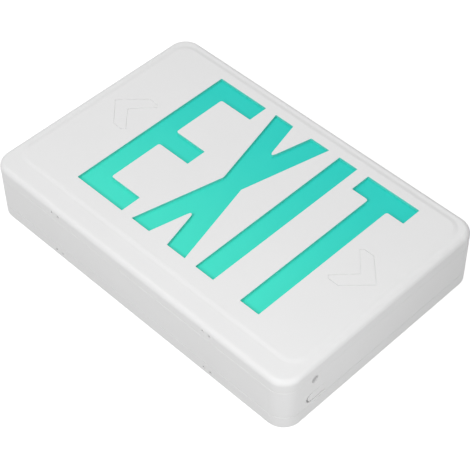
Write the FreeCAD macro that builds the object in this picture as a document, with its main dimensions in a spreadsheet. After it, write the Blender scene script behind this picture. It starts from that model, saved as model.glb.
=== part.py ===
"""Emergency exit light: a shallow moulded case with a stencil legend, lit from inside by two light bars.

Frame: +X along the legend, +Z up, -Y out of the legend. The origin is the middle of the case's back face,
on the wall. "Level" is a distance out from the wall, so a level is minus Y. Lengths are in millimetres.
"""
import FreeCAD, Part
import math
import os
from types import SimpleNamespace

import Sketcher

SIZES = {
    # the closed case; its width and height follow from the legend and its margins
    "case_depth": 53.0,
    "corner_radius": 15.7,
    "rim_radius": 6.0,
    "rim_inside_edge": 2.4,
    "back_edge": 0.4,
    "wall": 2.6,
    "face_wall": 2.3,
    "back_wall": 2.4,
    # the raised panel of the front
    "panel_step": 1.5,
    "panel_side": 10.3,
    "panel_top": 10.1,
    "panel_bottom": 20.6,
    "panel_radius": 7.0,
    "panel_edge": 1.0,
    # the two seams, with a lip of the frame inside the skirt of each cover
    "front_skirt": 12.7,
    "back_skirt": 11.3,
    "seam_edge": 0.35,
    "lap_length": 6.0,
    "lap_wall": 1.3,
    "lap_gap": 0.3,
    # the snaps of both covers: a pair of slots frees the strip of skirt between them
    "snap_reach": 81.8,
    "snap_width": 7.0,
    "snap_slot": 1.4,
    "front_snap": 6.3,
    "back_snap": 5.0,
    "bead_radius": 0.6,
    "bead_rise": 0.2,
    # the legend
    "letter_height": 155.6,
    "stroke": 18.5,
    "legend_left": 61.9,
    "legend_right": 42.5,
    "legend_top": 18.5,
    "legend_bottom": 34.8,
    "letter_gap": 10.9,
    "e_width": 50.4,
    "x_width": 57.3,
    "x_foot": 19.0,
    "t_width": 51.1,
    "letter_round": 2.0,
    # the direction arrows, outlined by a groove that lets them be knocked out
    "arrow_lift": 0.9,
    "arrow_left": 19.6,
    "arrow_right": 17.6,
    "arrow_half": 20.0,
    "arrow_reach": 15.0,
    "arrow_flat": 9.3,
    "groove_width": 0.8,
    "groove_depth": 0.8,
    # the green diffuser and the stakes that hold it
    "diffuser_thickness": 1.2,
    "diffuser_margin": 3.2,
    "diffuser_round": 4.0,
    "stake_radius": 1.5,
    "stake_gap": 0.15,
    "head_radius": 2.6,
    "head_height": 1.0,
    "stake_side": 16.9,
    "stake_margin": 5.6,
    # the right end: indicator hole and the test tongue on its film hinge
    "indicator_radius": 3.5,
    "indicator_height": 31.0,
    "indicator_depth": 17.0,
    "tongue_rise": 7.2,
    "tongue_width": 7.4,
    "tongue_thickness": 2.2,
    "tongue_side_gap": 0.5,
    "tongue_end_gap": 1.5,
    "tongue_end_height": 22.4,
    "tongue_root_height": 41.4,
    "nub_height": 27.4,
    "nub_length": 3.0,
    "nub_radius": 1.3,
    # the test switch, its board and the indicator lamp
    "plunger_radius": 1.7,
    "plunger_fit": 0.06,
    "plunger_gap": 0.3,
    "plunger_out": 4.2,
    "plunger_in": 2.6,
    "plunger_travel": 1.5,
    "switch_size": 8.4,
    "switch_thickness": 6.6,
    "switch_edge": 0.6,
    "lamp_radius": 2.5,
    "lamp_flange": 2.95,
    "lamp_length": 6.6,
    "board_thickness": 1.6,
    "test_board_back": 11.0,
    "test_board_inset": 12.0,
    # the tray that parts the works below from the light above
    "tray_thickness": 1.8,
    "tray_drop": 6.4,
    "bay_rise": 19.0,
    "bay_clear": 8.6,
    "tray_back_gap": 1.0,
    "tray_front_gap": 3.1,
    "tray_end_gap": 0.8,
    "ledge": 3.0,
    "ledge_thickness": 2.0,
    "ledge_margin": 2.0,
    "post_radius": 3.2,
    "post_gap": 0.7,
    # the light bars
    "bar_width": 11.0,
    "bar_end_gap": 7.0,
    "bar_corner_gap": 1.5,
    "rail_thickness": 1.2,
    "rail_bite": 1.0,
    "rail_gap": 0.2,
    "rail_stand": 1.4,
    "lamp_chip": 3.5,
    "lamp_chip_height": 1.4,
    "lamp_chip_pitch": 22.0,
    # the control board
    "control_length": 112.0,
    "control_back": 8.4,
    "control_front": 4.8,
    "control_boss": 4.0,
    "boss_inset": 3.6,
    "transformer_width": 26.0,
    "transformer_height": 16.0,
    "transformer_stack": 11.0,
    "transformer_limb": 4.4,
    "coil_depth": 20.0,
    "can_radius": 5.0,
    "can_height": 13.0,
    "relay_length": 12.4,
    "relay_width": 16.0,
    "relay_height": 10.4,
    "relay_edge": 0.6,
    "chip_length": 9.8,
    "chip_width": 6.4,
    "chip_height": 3.2,
    "resistor_width": 2.0,
    "resistor_length": 4.6,
    "resistor_height": 1.6,
    "resistor_pitch": 3.4,
    "part_gap": 2.4,
    # the sockets on the boards and the plugs pushed into them
    "socket_length": 7.0,
    "socket_height": 4.0,
    "plug_height": 3.6,
    "plug_inset": 0.9,
    "socket_margin": 2.9,
    # the battery
    "cell_diameter": 14.4,
    "cell_length": 50.0,
    "battery_left": 14.5,
    "battery_gap": 18.1,
    "battery_back": 11.6,
    "battery_lift": 1.5,
    "battery_edge": 1.0,
    "strap_width": 9.0,
    "strap_thickness": 0.9,
    "strap_gap": 0.2,
    "cradle_height": 7.0,
    "cradle_thickness": 1.6,
    # the back plate's holes
    "entry_radius": 11.1,
    "entry_collar": 2.4,
    "entry_collar_height": 3.0,
    "slot_width": 4.8,
    "slot_length": 12.0,
    "round_box_spacing": 88.9,
    "single_box_spacing": 83.3,
    "key_spacing": 203.2,
    "key_rise": 60.0,
    "key_radius": 4.6,
    "key_slot": 2.3,
    "key_drop": 8.5,
    "rib_thickness": 1.6,
    "rib_height": 3.0,
    # the leads
    "lead_thickness": 1.4,
    "lead_pitch": 1.8,
    "lead_gap": 0.3,
    "lead_drop": 3.8,
    "lead_bend": 10.0,
    "plug_bend": 6.0,
    "lower_lead_start": 60.0,
    "clip_height": 3.6,
    "clip_length": 8.0,
    "clip_spacing": 70.0,
}

ROOT_TWO = math.sqrt(2.0)
FRONT = "XZ_Plane"  # sketches drawn as seen from the front; padding goes out from the wall
FLOOR = "XY_Plane"  # sketches drawn as seen from above; padding goes up
SIDE = "YZ_Plane"  # sketches drawn as seen from the right; padding goes to the right


class Size:
    """A length worked out from the sheet: the formula that the document follows, and its value now."""

    def __init__(self, formula, value):
        self.formula = formula
        self.value = value

    def __add__(self, other):
        return Size(f"({self.formula} + {text(other)})", self.value + number(other))

    def __sub__(self, other):
        return Size(f"({self.formula} - {text(other)})", self.value - number(other))

    def __rsub__(self, other):
        return Size(f"({text(other)} - {self.formula})", number(other) - self.value)

    def __mul__(self, other):
        return Size(f"({self.formula} * {text(other)})", self.value * number(other))

    def __truediv__(self, other):
        return Size(f"({self.formula} / {text(other)})", self.value / number(other))

    def __neg__(self):
        return Size(f"(-{self.formula})", -self.value)

    __radd__ = __add__
    __rmul__ = __mul__


def text(size):
    return size.formula if isinstance(size, Size) else f"({float(size)!r})"


def number(size):
    return size.value if isinstance(size, Size) else float(size)


def vector(x, y, z):
    return FreeCAD.Vector(number(x), number(y), number(z))


def make_sheet(document):
    sheet = document.addObject("Spreadsheet::Sheet", "Sizes")
    for row, (alias, value) in enumerate(SIZES.items(), start=1):
        sheet.set(f"A{row}", alias)
        sheet.set(f"B{row}", str(value))
        sheet.setAlias(f"B{row}", alias)
    document.recompute()
    return SimpleNamespace(**{alias: Size(f"Sizes.{alias}", sheet.get(alias)) for alias in SIZES})


doc = FreeCAD.newDocument("exit_light")
dim = make_sheet(doc)
parts = []


# ---------------------------------------------------------------- places that several pieces share

legend_width = dim.e_width + dim.x_width + dim.stroke + dim.t_width + dim.letter_gap * 3
case_width = dim.legend_left + legend_width + dim.legend_right
case_height = dim.legend_bottom + dim.letter_height + dim.legend_top
half_width = case_width / 2
half_height = case_height / 2
rim_level = dim.case_depth - dim.panel_step
front_seam = dim.case_depth - dim.front_skirt
back_seam = dim.back_skirt
lap_reach = dim.lap_length - dim.lap_gap
panel_inside = dim.case_depth - dim.face_wall
rim_inside = rim_level - dim.face_wall
inner_right = half_width - dim.wall
floor_top = dim.wall - half_height
ceiling = half_height - dim.wall

panel_width = case_width - dim.panel_side * 2
panel_height = case_height - dim.panel_top - dim.panel_bottom
panel_middle = (dim.panel_bottom - dim.panel_top) / 2

legend_left = dim.legend_left - half_width
baseline = dim.legend_bottom - half_height
letter_top = baseline + dim.letter_height
x_middle = legend_left + dim.e_width + dim.letter_gap + dim.x_width / 2
i_left = x_middle + dim.x_width / 2 + dim.letter_gap
t_left = i_left + dim.stroke + dim.letter_gap
t_stem = t_left + dim.t_width / 2
arrow_middle = baseline + dim.letter_height / 2 + dim.arrow_lift

tray_top = baseline - dim.tray_drop
tray_under = tray_top - dim.tray_thickness
bay_left = t_stem + dim.stroke / 2 + dim.bay_clear
bay_top = tray_top + dim.bay_rise
bay_under = bay_top - dim.tray_thickness
tray_back = dim.back_wall + dim.rib_height + dim.tray_back_gap
tray_front = panel_inside - dim.tray_front_gap
tray_middle = (tray_back + tray_front) / 2

corner_x = half_width - dim.corner_radius
corner_z = half_height - dim.corner_radius
upper_bar_length = (corner_x - dim.bar_corner_gap) * 2
lower_bar_length = bay_left + inner_right - dim.bar_end_gap * 2
lower_bar_middle = (bay_left - inner_right) / 2
bar_under = ceiling - dim.rail_stand - dim.board_thickness

indicator_z = dim.indicator_height - half_height
indicator_level = dim.case_depth - dim.indicator_depth
tongue_level = back_seam + dim.tongue_rise
tongue_root = dim.tongue_root_height - half_height
tongue_end = dim.tongue_end_height - half_height
tongue_inner = half_width - dim.tongue_thickness
nub_z = dim.nub_height - half_height
plunger_tip = tongue_inner - dim.nub_length - dim.plunger_gap
switch_face = plunger_tip - dim.plunger_out
test_board_face = switch_face - dim.switch_thickness
test_board_front = dim.case_depth - dim.test_board_inset

battery_start = dim.battery_left - inner_right
battery_end = battery_start + dim.cell_length * 2
battery_under = floor_top + dim.battery_lift

control_under = floor_top + dim.control_boss
control_top = control_under + dim.board_thickness
control_left = battery_end + dim.battery_gap
control_right = control_left + dim.control_length
control_front = rim_inside - dim.control_front
control_level = (dim.control_back + control_front) / 2
boss_xs = (control_left + dim.boss_inset, control_right - dim.boss_inset)
boss_levels = (dim.control_back + dim.boss_inset, control_front - dim.boss_inset)

lead_z = tray_under - dim.lead_drop
lead_corner = bar_under + dim.board_thickness / 2 - corner_z
lead_wall_x = -corner_x - lead_corner
upper_lead_level = tray_middle - dim.lead_pitch - dim.lead_gap / 2
lower_lead_level = tray_middle + dim.lead_pitch + dim.lead_gap / 2
battery_lead_level = tray_middle + dim.lead_pitch * 4.5
post_x = control_left - dim.post_radius * 2
post_levels = (boss_levels[0], battery_lead_level + dim.lead_pitch + dim.post_gap + dim.post_radius)
socket_x = control_left + dim.boss_inset * 3.2
test_socket_x = control_right - dim.boss_inset * 1.6
plug_top = control_top + dim.socket_height + dim.plug_height


# ---------------------------------------------------------------- sketches and features

def bind(item, place, size):
    item.setExpression(place, text(size))


def body(name):
    """A new sub-part made of features; its label is also its file's name."""
    owner = doc.addObject("PartDesign::Body", name)
    owner.Label = name
    parts.append(owner)
    return owner


def sketch(owner, name, plane, level):
    """A sketch parallel to one of the body's own origin planes, at a level along that plane's normal."""
    outline = owner.newObject("Sketcher::SketchObject", name)
    support = next(item for item in owner.Origin.OriginFeatures if item.Role == plane)
    outline.AttachmentSupport = (support, "")
    outline.MapMode = "FlatFace"
    bind(outline, "AttachmentOffset.Base.z", level)
    return outline


def hold(outline, geometry, point, across, up):
    """Pin one point of a sketch's geometry at its place."""
    for kind, size in (("DistanceX", across), ("DistanceY", up)):
        index = outline.addConstraint(Sketcher.Constraint(kind, -1, 1, geometry, point, number(size)))
        outline.setExpression(f"Constraints[{index}]", text(size))


def polygon(outline, corners):
    """A closed outline of straight lines through the corners."""
    first = outline.GeometryCount
    for start, end in zip(corners, corners[1:] + corners[:1]):
        outline.addGeometry(Part.LineSegment(vector(*start, 0), vector(*end, 0)), False)
    for index in range(len(corners)):
        after = (index + 1) % len(corners)
        outline.addConstraint(Sketcher.Constraint("Coincident", first + index, 2, first + after, 1))
    for index, corner in enumerate(corners):
        hold(outline, first + index, 1, *corner)


def rectangle(outline, left, right, low, high):
    polygon(outline, [(left, low), (right, low), (right, high), (left, high)])


def circle(outline, across, up, radius):
    middle = vector(across, up, 0)
    index = outline.addGeometry(Part.Circle(middle, FreeCAD.Vector(0, 0, 1), number(radius)), False)
    hold(outline, index, 3, across, up)
    limit = outline.addConstraint(Sketcher.Constraint("Radius", index, number(radius)))
    outline.setExpression(f"Constraints[{limit}]", text(radius))


def stud(outline, across, up, radius):
    """An eight-sided outline about a circle, for the small studs that no one sees."""
    flat = radius * (ROOT_TWO - 1)
    turns = [(radius, flat), (flat, radius), (-flat, radius), (-radius, flat)]
    turns += [(-radius, -flat), (-flat, -radius), (flat, -radius), (radius, -flat)]
    polygon(outline, [(across + right, up + rise) for right, rise in turns])


def arc_chain(outline, centres, radius, first_angle, sweep):
    """Equal arcs about the centres, each turning by the sweep, joined by tangent lines into one loop."""
    first = outline.GeometryCount
    count = len(centres)
    reach = number(radius)
    for index, (across, up) in enumerate(centres):
        start = first_angle + sweep * index
        round_shape = Part.Circle(vector(across, up, 0), FreeCAD.Vector(0, 0, 1), reach)
        outline.addGeometry(Part.ArcOfCircle(round_shape, start, start + sweep), False)
    for index in range(count):
        leaving = outline.Geometry[first + index].EndPoint
        arriving = outline.Geometry[first + (index + 1) % count].StartPoint
        outline.addGeometry(Part.LineSegment(leaving, arriving), False)
    for index in range(count):
        line = first + count + index
        outline.addConstraint(Sketcher.Constraint("Tangent", first + index, 2, line, 1))
        outline.addConstraint(Sketcher.Constraint("Tangent", line, 2, first + (index + 1) % count, 1))
        if index:
            outline.addConstraint(Sketcher.Constraint("Equal", first, first + index))
    for index, centre in enumerate(centres):
        hold(outline, first + index, 3, *centre)
    limit = outline.addConstraint(Sketcher.Constraint("Radius", first, reach))
    outline.setExpression(f"Constraints[{limit}]", text(radius))


def rounded_rectangle(outline, width, height, radius, middle_x=0.0, middle_up=0.0):
    across = width / 2 - radius
    up = height / 2 - radius
    signs = [(1, 1), (-1, 1), (-1, -1), (1, -1)]
    centres = [(middle_x + across * sx, middle_up + up * sy) for sx, sy in signs]
    arc_chain(outline, centres, radius, 0.0, math.pi / 2)


def case_outline(outline, inset):
    """The case's own outline, set in all round."""
    width = case_width - inset * 2
    rounded_rectangle(outline, width, case_height - inset * 2, dim.corner_radius - inset)


def obround(outline, across, up, length, width, upright=False):
    reach = (length - width) / 2
    if upright:
        centres = [(across, up + reach), (across, up - reach)]
        arc_chain(outline, centres, width / 2, 0.0, math.pi)
    else:
        centres = [(across - reach, up), (across + reach, up)]
        arc_chain(outline, centres, width / 2, math.pi / 2, math.pi)


def tongue_outline(outline, level, width, root, end):
    """A tongue hanging from a straight root, with a half-round lower end; drawn from the right."""
    radius = width / 2
    middle = vector(-level, end + radius, 0)
    reach = number(radius)
    shape = Part.Circle(middle, FreeCAD.Vector(0, 0, 1), reach)
    outline.addGeometry(Part.ArcOfCircle(shape, math.pi, 2 * math.pi), False)
    right = middle + FreeCAD.Vector(reach, 0, 0)
    left = middle - FreeCAD.Vector(reach, 0, 0)
    top_right = FreeCAD.Vector(right.x, number(root), 0)
    top_left = FreeCAD.Vector(left.x, number(root), 0)
    outline.addGeometry(Part.LineSegment(right, top_right), False)
    outline.addGeometry(Part.LineSegment(top_right, top_left), False)
    outline.addGeometry(Part.LineSegment(top_left, left), False)
    outline.addConstraint(Sketcher.Constraint("Tangent", 0, 2, 1, 1))
    outline.addConstraint(Sketcher.Constraint("Coincident", 1, 2, 2, 1))
    outline.addConstraint(Sketcher.Constraint("Coincident", 2, 2, 3, 1))
    outline.addConstraint(Sketcher.Constraint("Tangent", 3, 2, 0, 1))
    hold(outline, 0, 3, -level, end + radius)
    hold(outline, 1, 2, radius - level, root)
    hold(outline, 2, 2, -radius - level, root)


def feature(owner, kind, name, outline, length, **options):
    made = owner.newObject(kind, name)
    made.Profile = outline
    if length is not None:
        bind(made, "Length", length)
    for option, value in options.items():
        setattr(made, option, value)
    outline.Visibility = False
    doc.recompute()
    return made


def pad(owner, name, outline, length, **options):
    return feature(owner, "PartDesign::Pad", name, outline, length, **options)


def pocket(owner, name, outline, length, **options):
    """Cuts against the sketch's normal, or along it with Reversed; with no length it cuts through all."""
    if length is None:
        options["Type"] = "ThroughAll"
    before = owner.Tip.Shape.Volume
    made = feature(owner, "PartDesign::Pocket", name, outline, length, **options)
    if made.Shape.Volume > before - 0.01:
        raise ValueError(f"{name} cuts nothing")
    return made


def edges_of(owner, test):
    return [f"Edge{index}" for index, edge in enumerate(owner.Tip.Shape.Edges, start=1) if test(edge)]


def dress(owner, kind, name, edges, place, size):
    made = owner.newObject(kind, name)
    made.Base = (owner.Tip, edges) if owner.Tip != made else (made.BaseFeature, edges)
    bind(made, place, size)
    doc.recompute()
    return made


def fillet(owner, name, test, radius):
    edges = edges_of(owner, test)
    return dress(owner, "PartDesign::Fillet", name, edges, "Radius", radius)


def chamfer(owner, name, test, size):
    edges = edges_of(owner, test)
    return dress(owner, "PartDesign::Chamfer", name, edges, "Size", size)


def near(value, size):
    return abs(value - number(size)) < 1e-4


def at_level(level):
    """True for an edge that lies wholly at one level."""
    return lambda edge: near(-edge.BoundBox.YMin, level) and near(-edge.BoundBox.YMax, level)


def at_height(height):
    return lambda edge: near(edge.BoundBox.ZMin, height) and near(edge.BoundBox.ZMax, height)


def at_side(place):
    return lambda edge: near(edge.BoundBox.XMin, place) and near(edge.BoundBox.XMax, place)


def on_outside(level):
    """True for an edge of the case's outline, set in by nothing, at one level."""
    def test(edge):
        ends = [vertex.Point for vertex in edge.Vertexes]
        touches = all(near(abs(end.x), half_width) or near(abs(end.z), half_height) for end in ends)
        return at_level(level)(edge) and touches
    return test


def running_in(places):
    """True for an edge along Y that passes through one of the (x, z) places."""
    def test(edge):
        box = edge.BoundBox
        straight = box.XLength < 1e-4 and box.ZLength < 1e-4
        return straight and any(near(box.XMin, x) and near(box.ZMin, z) for x, z in places)
    return test


def block(name, left, back, low, width, depth, height):
    """A box whose back face lies at a level and which reaches out from the wall by its depth."""
    box = doc.addObject("Part::Box", name)
    bind(box, "Length", width)
    bind(box, "Width", depth)
    bind(box, "Height", height)
    bind(box, "Placement.Base.x", left)
    bind(box, "Placement.Base.y", -1.0 * (back + depth))
    bind(box, "Placement.Base.z", low)
    return box


def rod(name, middle_x, level, low, radius, height):
    """An upright cylinder."""
    cylinder = doc.addObject("Part::Cylinder", name)
    bind(cylinder, "Radius", radius)
    bind(cylinder, "Height", height)
    bind(cylinder, "Placement.Base.x", middle_x)
    bind(cylinder, "Placement.Base.y", -1.0 * level)
    bind(cylinder, "Placement.Base.z", low)
    return cylinder


def group(name, pieces):
    """Several separate solids kept as one sub-part."""
    made = doc.addObject("Part::Compound", name)
    made.Links = pieces
    made.Label = name
    parts.append(made)
    return made


def single(made, name):
    made.Label = name
    parts.append(made)
    return made


# ---------------------------------------------------------------- the two covers

def add_snap_slots(owner, level):
    """A pair of slots at each snap, through the upper and the lower skirt."""
    outline = sketch(owner, owner.Name + "_snap_outline", FLOOR, 0.0)
    half = dim.snap_slot / 2
    for side in (-1, 1):
        for end in (-1, 1):
            middle = dim.snap_reach * side + dim.snap_width * (end / 2)
            rectangle(outline, middle - half, middle + half, -level - half, half - level)
    pocket(owner, owner.Name + "_snaps", outline, None, SideType="Symmetric")


def letter_e(outline):
    right = legend_left + dim.e_width
    stem = legend_left + dim.stroke
    middle = baseline + dim.letter_height / 2
    half = dim.stroke / 2
    corners = [(legend_left, baseline), (right, baseline), (right, baseline + dim.stroke)]
    corners += [(stem, baseline + dim.stroke), (stem, middle - half), (right, middle - half)]
    corners += [(right, middle + half), (stem, middle + half), (stem, letter_top - dim.stroke)]
    corners += [(right, letter_top - dim.stroke), (right, letter_top), (legend_left, letter_top)]
    polygon(outline, corners)
    return [corners[3], corners[4], corners[7], corners[8]]


def letter_t(outline):
    right = t_left + dim.t_width
    half = dim.stroke / 2
    under = letter_top - dim.stroke
    corners = [(t_stem - half, baseline), (t_stem + half, baseline), (t_stem + half, under), (right, under)]
    corners += [(right, letter_top), (t_left, letter_top), (t_left, under), (t_stem - half, under)]
    polygon(outline, corners)
    return [corners[2], corners[7]]


def letter_x(owner):
    """Two crossing strokes; each leans from a foot on one side to a head on the other."""
    half = dim.x_width / 2
    for name, lean in (("x_rising", 1), ("x_falling", -1)):
        outline = sketch(owner, name + "_outline", FRONT, dim.case_depth)
        foot = (x_middle - half * lean, x_middle + (dim.x_foot - half) * lean)
        head = (x_middle + half * lean, x_middle + (half - dim.x_foot) * lean)
        corners = [(foot[0], baseline), (foot[1], baseline), (head[0], letter_top), (head[1], letter_top)]
        polygon(outline, corners)
        pocket(owner, name, outline, None)
    waist = baseline + dim.letter_height / 2
    crotch = dim.letter_height * (half - dim.x_foot) / (dim.x_width - dim.x_foot)
    notches = [(x_middle - dim.x_foot / 2, waist), (x_middle + dim.x_foot / 2, waist)]
    return notches + [(x_middle, baseline + crotch), (x_middle, letter_top - crotch)]


def arrow(outline, tip, direction, inset):
    """An arrow head of two arms at right angles, pointing along X; inset shrinks it by one distance."""
    skew = inset * ROOT_TWO
    half = dim.arrow_half
    shoulder = half + dim.arrow_flat
    arms = [(-half + inset - skew, half - inset)]
    arms.append((-shoulder - inset + skew, half - inset))
    arms.append((skew - (shoulder + half + dim.arrow_reach) / 2, (shoulder + half - dim.arrow_reach) / 2))
    shape = [(-skew, inset * 0.0)] + arms + [(skew - dim.arrow_reach, inset * 0.0)]
    shape += [(across, -up) for across, up in reversed(arms)]
    polygon(outline, [(tip + across * direction, arrow_middle + up) for across, up in shape])


def diffuser_stakes():
    """Where the stakes stand: a row above the legend and a row below it."""
    low = panel_middle - panel_height / 2 + dim.face_wall + dim.stake_margin
    high = panel_middle + panel_height / 2 - dim.face_wall - dim.stake_margin + 1.2
    reach = panel_width / 2 - dim.stake_side
    return [(reach * column, row) for column in (-1, 0, 1) for row in (low, high)]


def make_front_cover():
    cover = body("front_cover")
    outline = sketch(cover, "front_outline", FRONT, front_seam)
    case_outline(outline, 0.0 * dim.wall)
    pad(cover, "front_shell", outline, rim_level - front_seam)
    fillet(cover, "rim", at_level(rim_level), dim.rim_radius)

    outline = sketch(cover, "panel_outline", FRONT, rim_level)
    rounded_rectangle(outline, panel_width, panel_height, dim.panel_radius, 0.0, panel_middle)
    pad(cover, "panel", outline, dim.panel_step)
    chamfer(cover, "panel_rim", at_level(dim.case_depth), dim.panel_edge)

    outline = sketch(cover, "front_hollow_outline", FRONT, front_seam)
    case_outline(outline, dim.wall)
    pocket(cover, "front_hollow", outline, rim_inside - front_seam, Reversed=True)
    chamfer(cover, "front_hollow_edge", at_level(rim_inside), dim.rim_inside_edge)

    outline = sketch(cover, "panel_hollow_outline", FRONT, rim_inside)
    inner_width = panel_width - dim.face_wall * 2
    inner_height = panel_height - dim.face_wall * 2
    inner_radius = dim.panel_radius - dim.face_wall
    rounded_rectangle(outline, inner_width, inner_height, inner_radius, 0.0, panel_middle)
    pocket(cover, "panel_hollow", outline, dim.panel_step, Reversed=True)

    outline = sketch(cover, "front_lap_outline", FRONT, front_seam)
    case_outline(outline, dim.lap_wall)
    pocket(cover, "front_lap", outline, dim.lap_length, Reversed=True)
    chamfer(cover, "front_seam_edge", on_outside(front_seam), dim.seam_edge)

    outline = sketch(cover, "letters_outline", FRONT, dim.case_depth)
    rounded = letter_e(outline) + letter_t(outline)
    rectangle(outline, i_left, i_left + dim.stroke, baseline, letter_top)
    pocket(cover, "letters", outline, None)
    rounded += letter_x(cover)
    fillet(cover, "letter_corners", running_in(rounded), dim.letter_round)

    outline = sketch(cover, "arrows_outline", FRONT, dim.case_depth)
    for inset in (0.0 * dim.groove_width, dim.groove_width):
        arrow(outline, half_width - dim.arrow_right, 1, inset)
        arrow(outline, dim.arrow_left - half_width, -1, inset)
    pocket(cover, "arrow_grooves", outline, dim.groove_depth)
    add_snap_slots(cover, dim.case_depth - dim.front_snap)

    outline = sketch(cover, "stake_outline", FRONT, panel_inside)
    for place in diffuser_stakes():
        stud(outline, *place, dim.stake_radius)
    pad(cover, "stakes", outline, dim.diffuser_thickness + dim.head_height, Reversed=True)
    outline = sketch(cover, "head_outline", FRONT, panel_inside - dim.diffuser_thickness)
    for place in diffuser_stakes():
        stud(outline, *place, dim.head_radius)
    pad(cover, "stake_heads", outline, dim.head_height, Reversed=True)


def make_diffuser():
    sheet = body("green_diffuser")
    outline = sketch(sheet, "diffuser_outline", FRONT, panel_inside - dim.diffuser_thickness)
    width = panel_width - dim.diffuser_margin * 2
    height = panel_height - dim.diffuser_margin * 2
    rounded_rectangle(outline, width, height, dim.diffuser_round, 0.0, panel_middle)
    for place in diffuser_stakes():
        stud(outline, *place, dim.stake_radius + dim.stake_gap)
    pad(sheet, "diffuser_sheet", outline, dim.diffuser_thickness)


def make_back_plate():
    plate = body("back_plate")
    outline = sketch(plate, "back_outline", FRONT, 0.0)
    case_outline(outline, 0.0 * dim.wall)
    pad(plate, "back_shell", outline, back_seam)
    chamfer(plate, "back_bevel", at_level(0.0), dim.back_edge)
    outline = sketch(plate, "back_hollow_outline", FRONT, back_seam)
    case_outline(outline, dim.wall)
    pocket(plate, "back_hollow", outline, back_seam - dim.back_wall)
    outline = sketch(plate, "back_lap_outline", FRONT, back_seam)
    case_outline(outline, dim.lap_wall)
    pocket(plate, "back_lap", outline, dim.lap_length)
    chamfer(plate, "back_seam_edge", on_outside(back_seam), dim.seam_edge)
    add_snap_slots(plate, dim.back_snap)

    outline = sketch(plate, "rib_outline", FRONT, dim.back_wall)
    half = dim.rib_thickness / 2
    reach = inner_right
    for up in (dim.key_rise + dim.key_drop * 2, -dim.key_rise - dim.key_drop * 2):
        rectangle(outline, -reach, reach, up - half, up + half)
    pad(plate, "back_ribs", outline, dim.rib_height)

    outline = sketch(plate, "collar_outline", FRONT, dim.back_wall)
    circle(outline, 0.0, 0.0, dim.entry_radius + dim.entry_collar)
    pad(plate, "entry_collar", outline, dim.entry_collar_height)
    outline = sketch(plate, "hole_outline", FRONT, dim.case_depth)
    circle(outline, 0.0, 0.0, dim.entry_radius)
    for side in (-1, 1):
        obround(outline, dim.round_box_spacing / 2 * side, 0.0, dim.slot_length, dim.slot_width)
        rise = dim.single_box_spacing / 2 * side
        obround(outline, 0.0, rise, dim.slot_length, dim.slot_width, upright=True)
    pocket(plate, "wall_holes", outline, None)
    outline = sketch(plate, "key_outline", FRONT, dim.case_depth)
    for side in (-1, 1):
        circle(outline, dim.key_spacing / 2 * side, dim.key_rise - dim.key_drop, dim.key_radius)
    pocket(plate, "key_holes", outline, None)
    outline = sketch(plate, "key_slot_outline", FRONT, dim.case_depth)
    for side in (-1, 1):
        length = dim.key_drop + dim.key_slot * 2
        middle = dim.key_rise - dim.key_drop / 2
        obround(outline, dim.key_spacing / 2 * side, middle, length, dim.key_slot * 2, upright=True)
    pocket(plate, "key_slots", outline, None)


# ---------------------------------------------------------------- the frame between the covers

def add_lips(frame):
    """The ring of wall, with a lip at each end that goes into the skirt of a cover."""
    outline = sketch(frame, "frame_outline", FRONT, back_seam)
    case_outline(outline, 0.0 * dim.wall)
    pad(frame, "frame_ring", outline, front_seam - back_seam)
    chamfer(frame, "frame_front_edge", on_outside(front_seam), dim.seam_edge)
    chamfer(frame, "frame_back_edge", on_outside(back_seam), dim.seam_edge)
    outline = sketch(frame, "lip_outline", FRONT, back_seam - lap_reach)
    case_outline(outline, dim.lap_wall + dim.lap_gap)
    pad(frame, "frame_lips", outline, front_seam - back_seam + lap_reach * 2)
    outline = sketch(frame, "frame_bore_outline", FRONT, dim.case_depth)
    case_outline(outline, dim.wall)
    pocket(frame, "frame_bore", outline, None)


def add_snap_beads(frame):
    """A low half-round bead on the lip behind each freed strip of skirt."""
    start = dim.snap_reach - dim.snap_width / 2 + dim.snap_slot / 2
    outline = sketch(frame, "bead_outline", SIDE, start)
    lift = half_height - dim.lap_wall - dim.lap_gap + dim.bead_rise - dim.bead_radius
    for level in (front_seam + lap_reach - dim.bead_radius * 2, back_seam - lap_reach + dim.bead_radius * 2):
        circle(outline, -level, lift, dim.bead_radius)
        circle(outline, -level, -lift, dim.bead_radius)
    beads = pad(frame, "snap_beads", outline, dim.snap_width - dim.snap_slot)
    mirrored = frame.newObject("PartDesign::Mirrored", "snap_beads_left")
    mirrored.Originals = [beads]
    side = next(item for item in frame.Origin.OriginFeatures if item.Role == SIDE)
    mirrored.MirrorPlane = (side, [""])
    frame.Tip = mirrored
    doc.recompute()


def add_right_end(frame):
    """The indicator hole and the opening that the test tongue hangs in."""
    outline = sketch(frame, "indicator_outline", SIDE, half_width)
    circle(outline, -indicator_level, indicator_z, dim.indicator_radius)
    pocket(frame, "indicator_hole", outline, dim.wall)
    outline = sketch(frame, "tongue_opening_outline", SIDE, half_width)
    width = dim.tongue_width + dim.tongue_side_gap * 2
    tongue_outline(outline, tongue_level, width, tongue_root, tongue_end)
    pocket(frame, "tongue_opening", outline, dim.wall)


def add_rails(frame):
    """Two hooked rails under the top wall that carry the upper light bar."""
    outline = sketch(frame, "rail_outline", SIDE, 0.0)
    edge = dim.bar_width / 2 + dim.rail_gap
    under = bar_under - dim.rail_thickness
    for side in (-1, 1):
        inner = -tray_middle + edge * side
        outer = inner + dim.rail_thickness * side
        hook = inner - dim.rail_bite * side
        shape = [(inner, ceiling), (outer, ceiling), (outer, under), (hook, under), (hook, bar_under)]
        polygon(outline, shape + [(inner, bar_under)])
    pad(frame, "bar_rails", outline, upper_bar_length, SideType="Symmetric")


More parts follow.
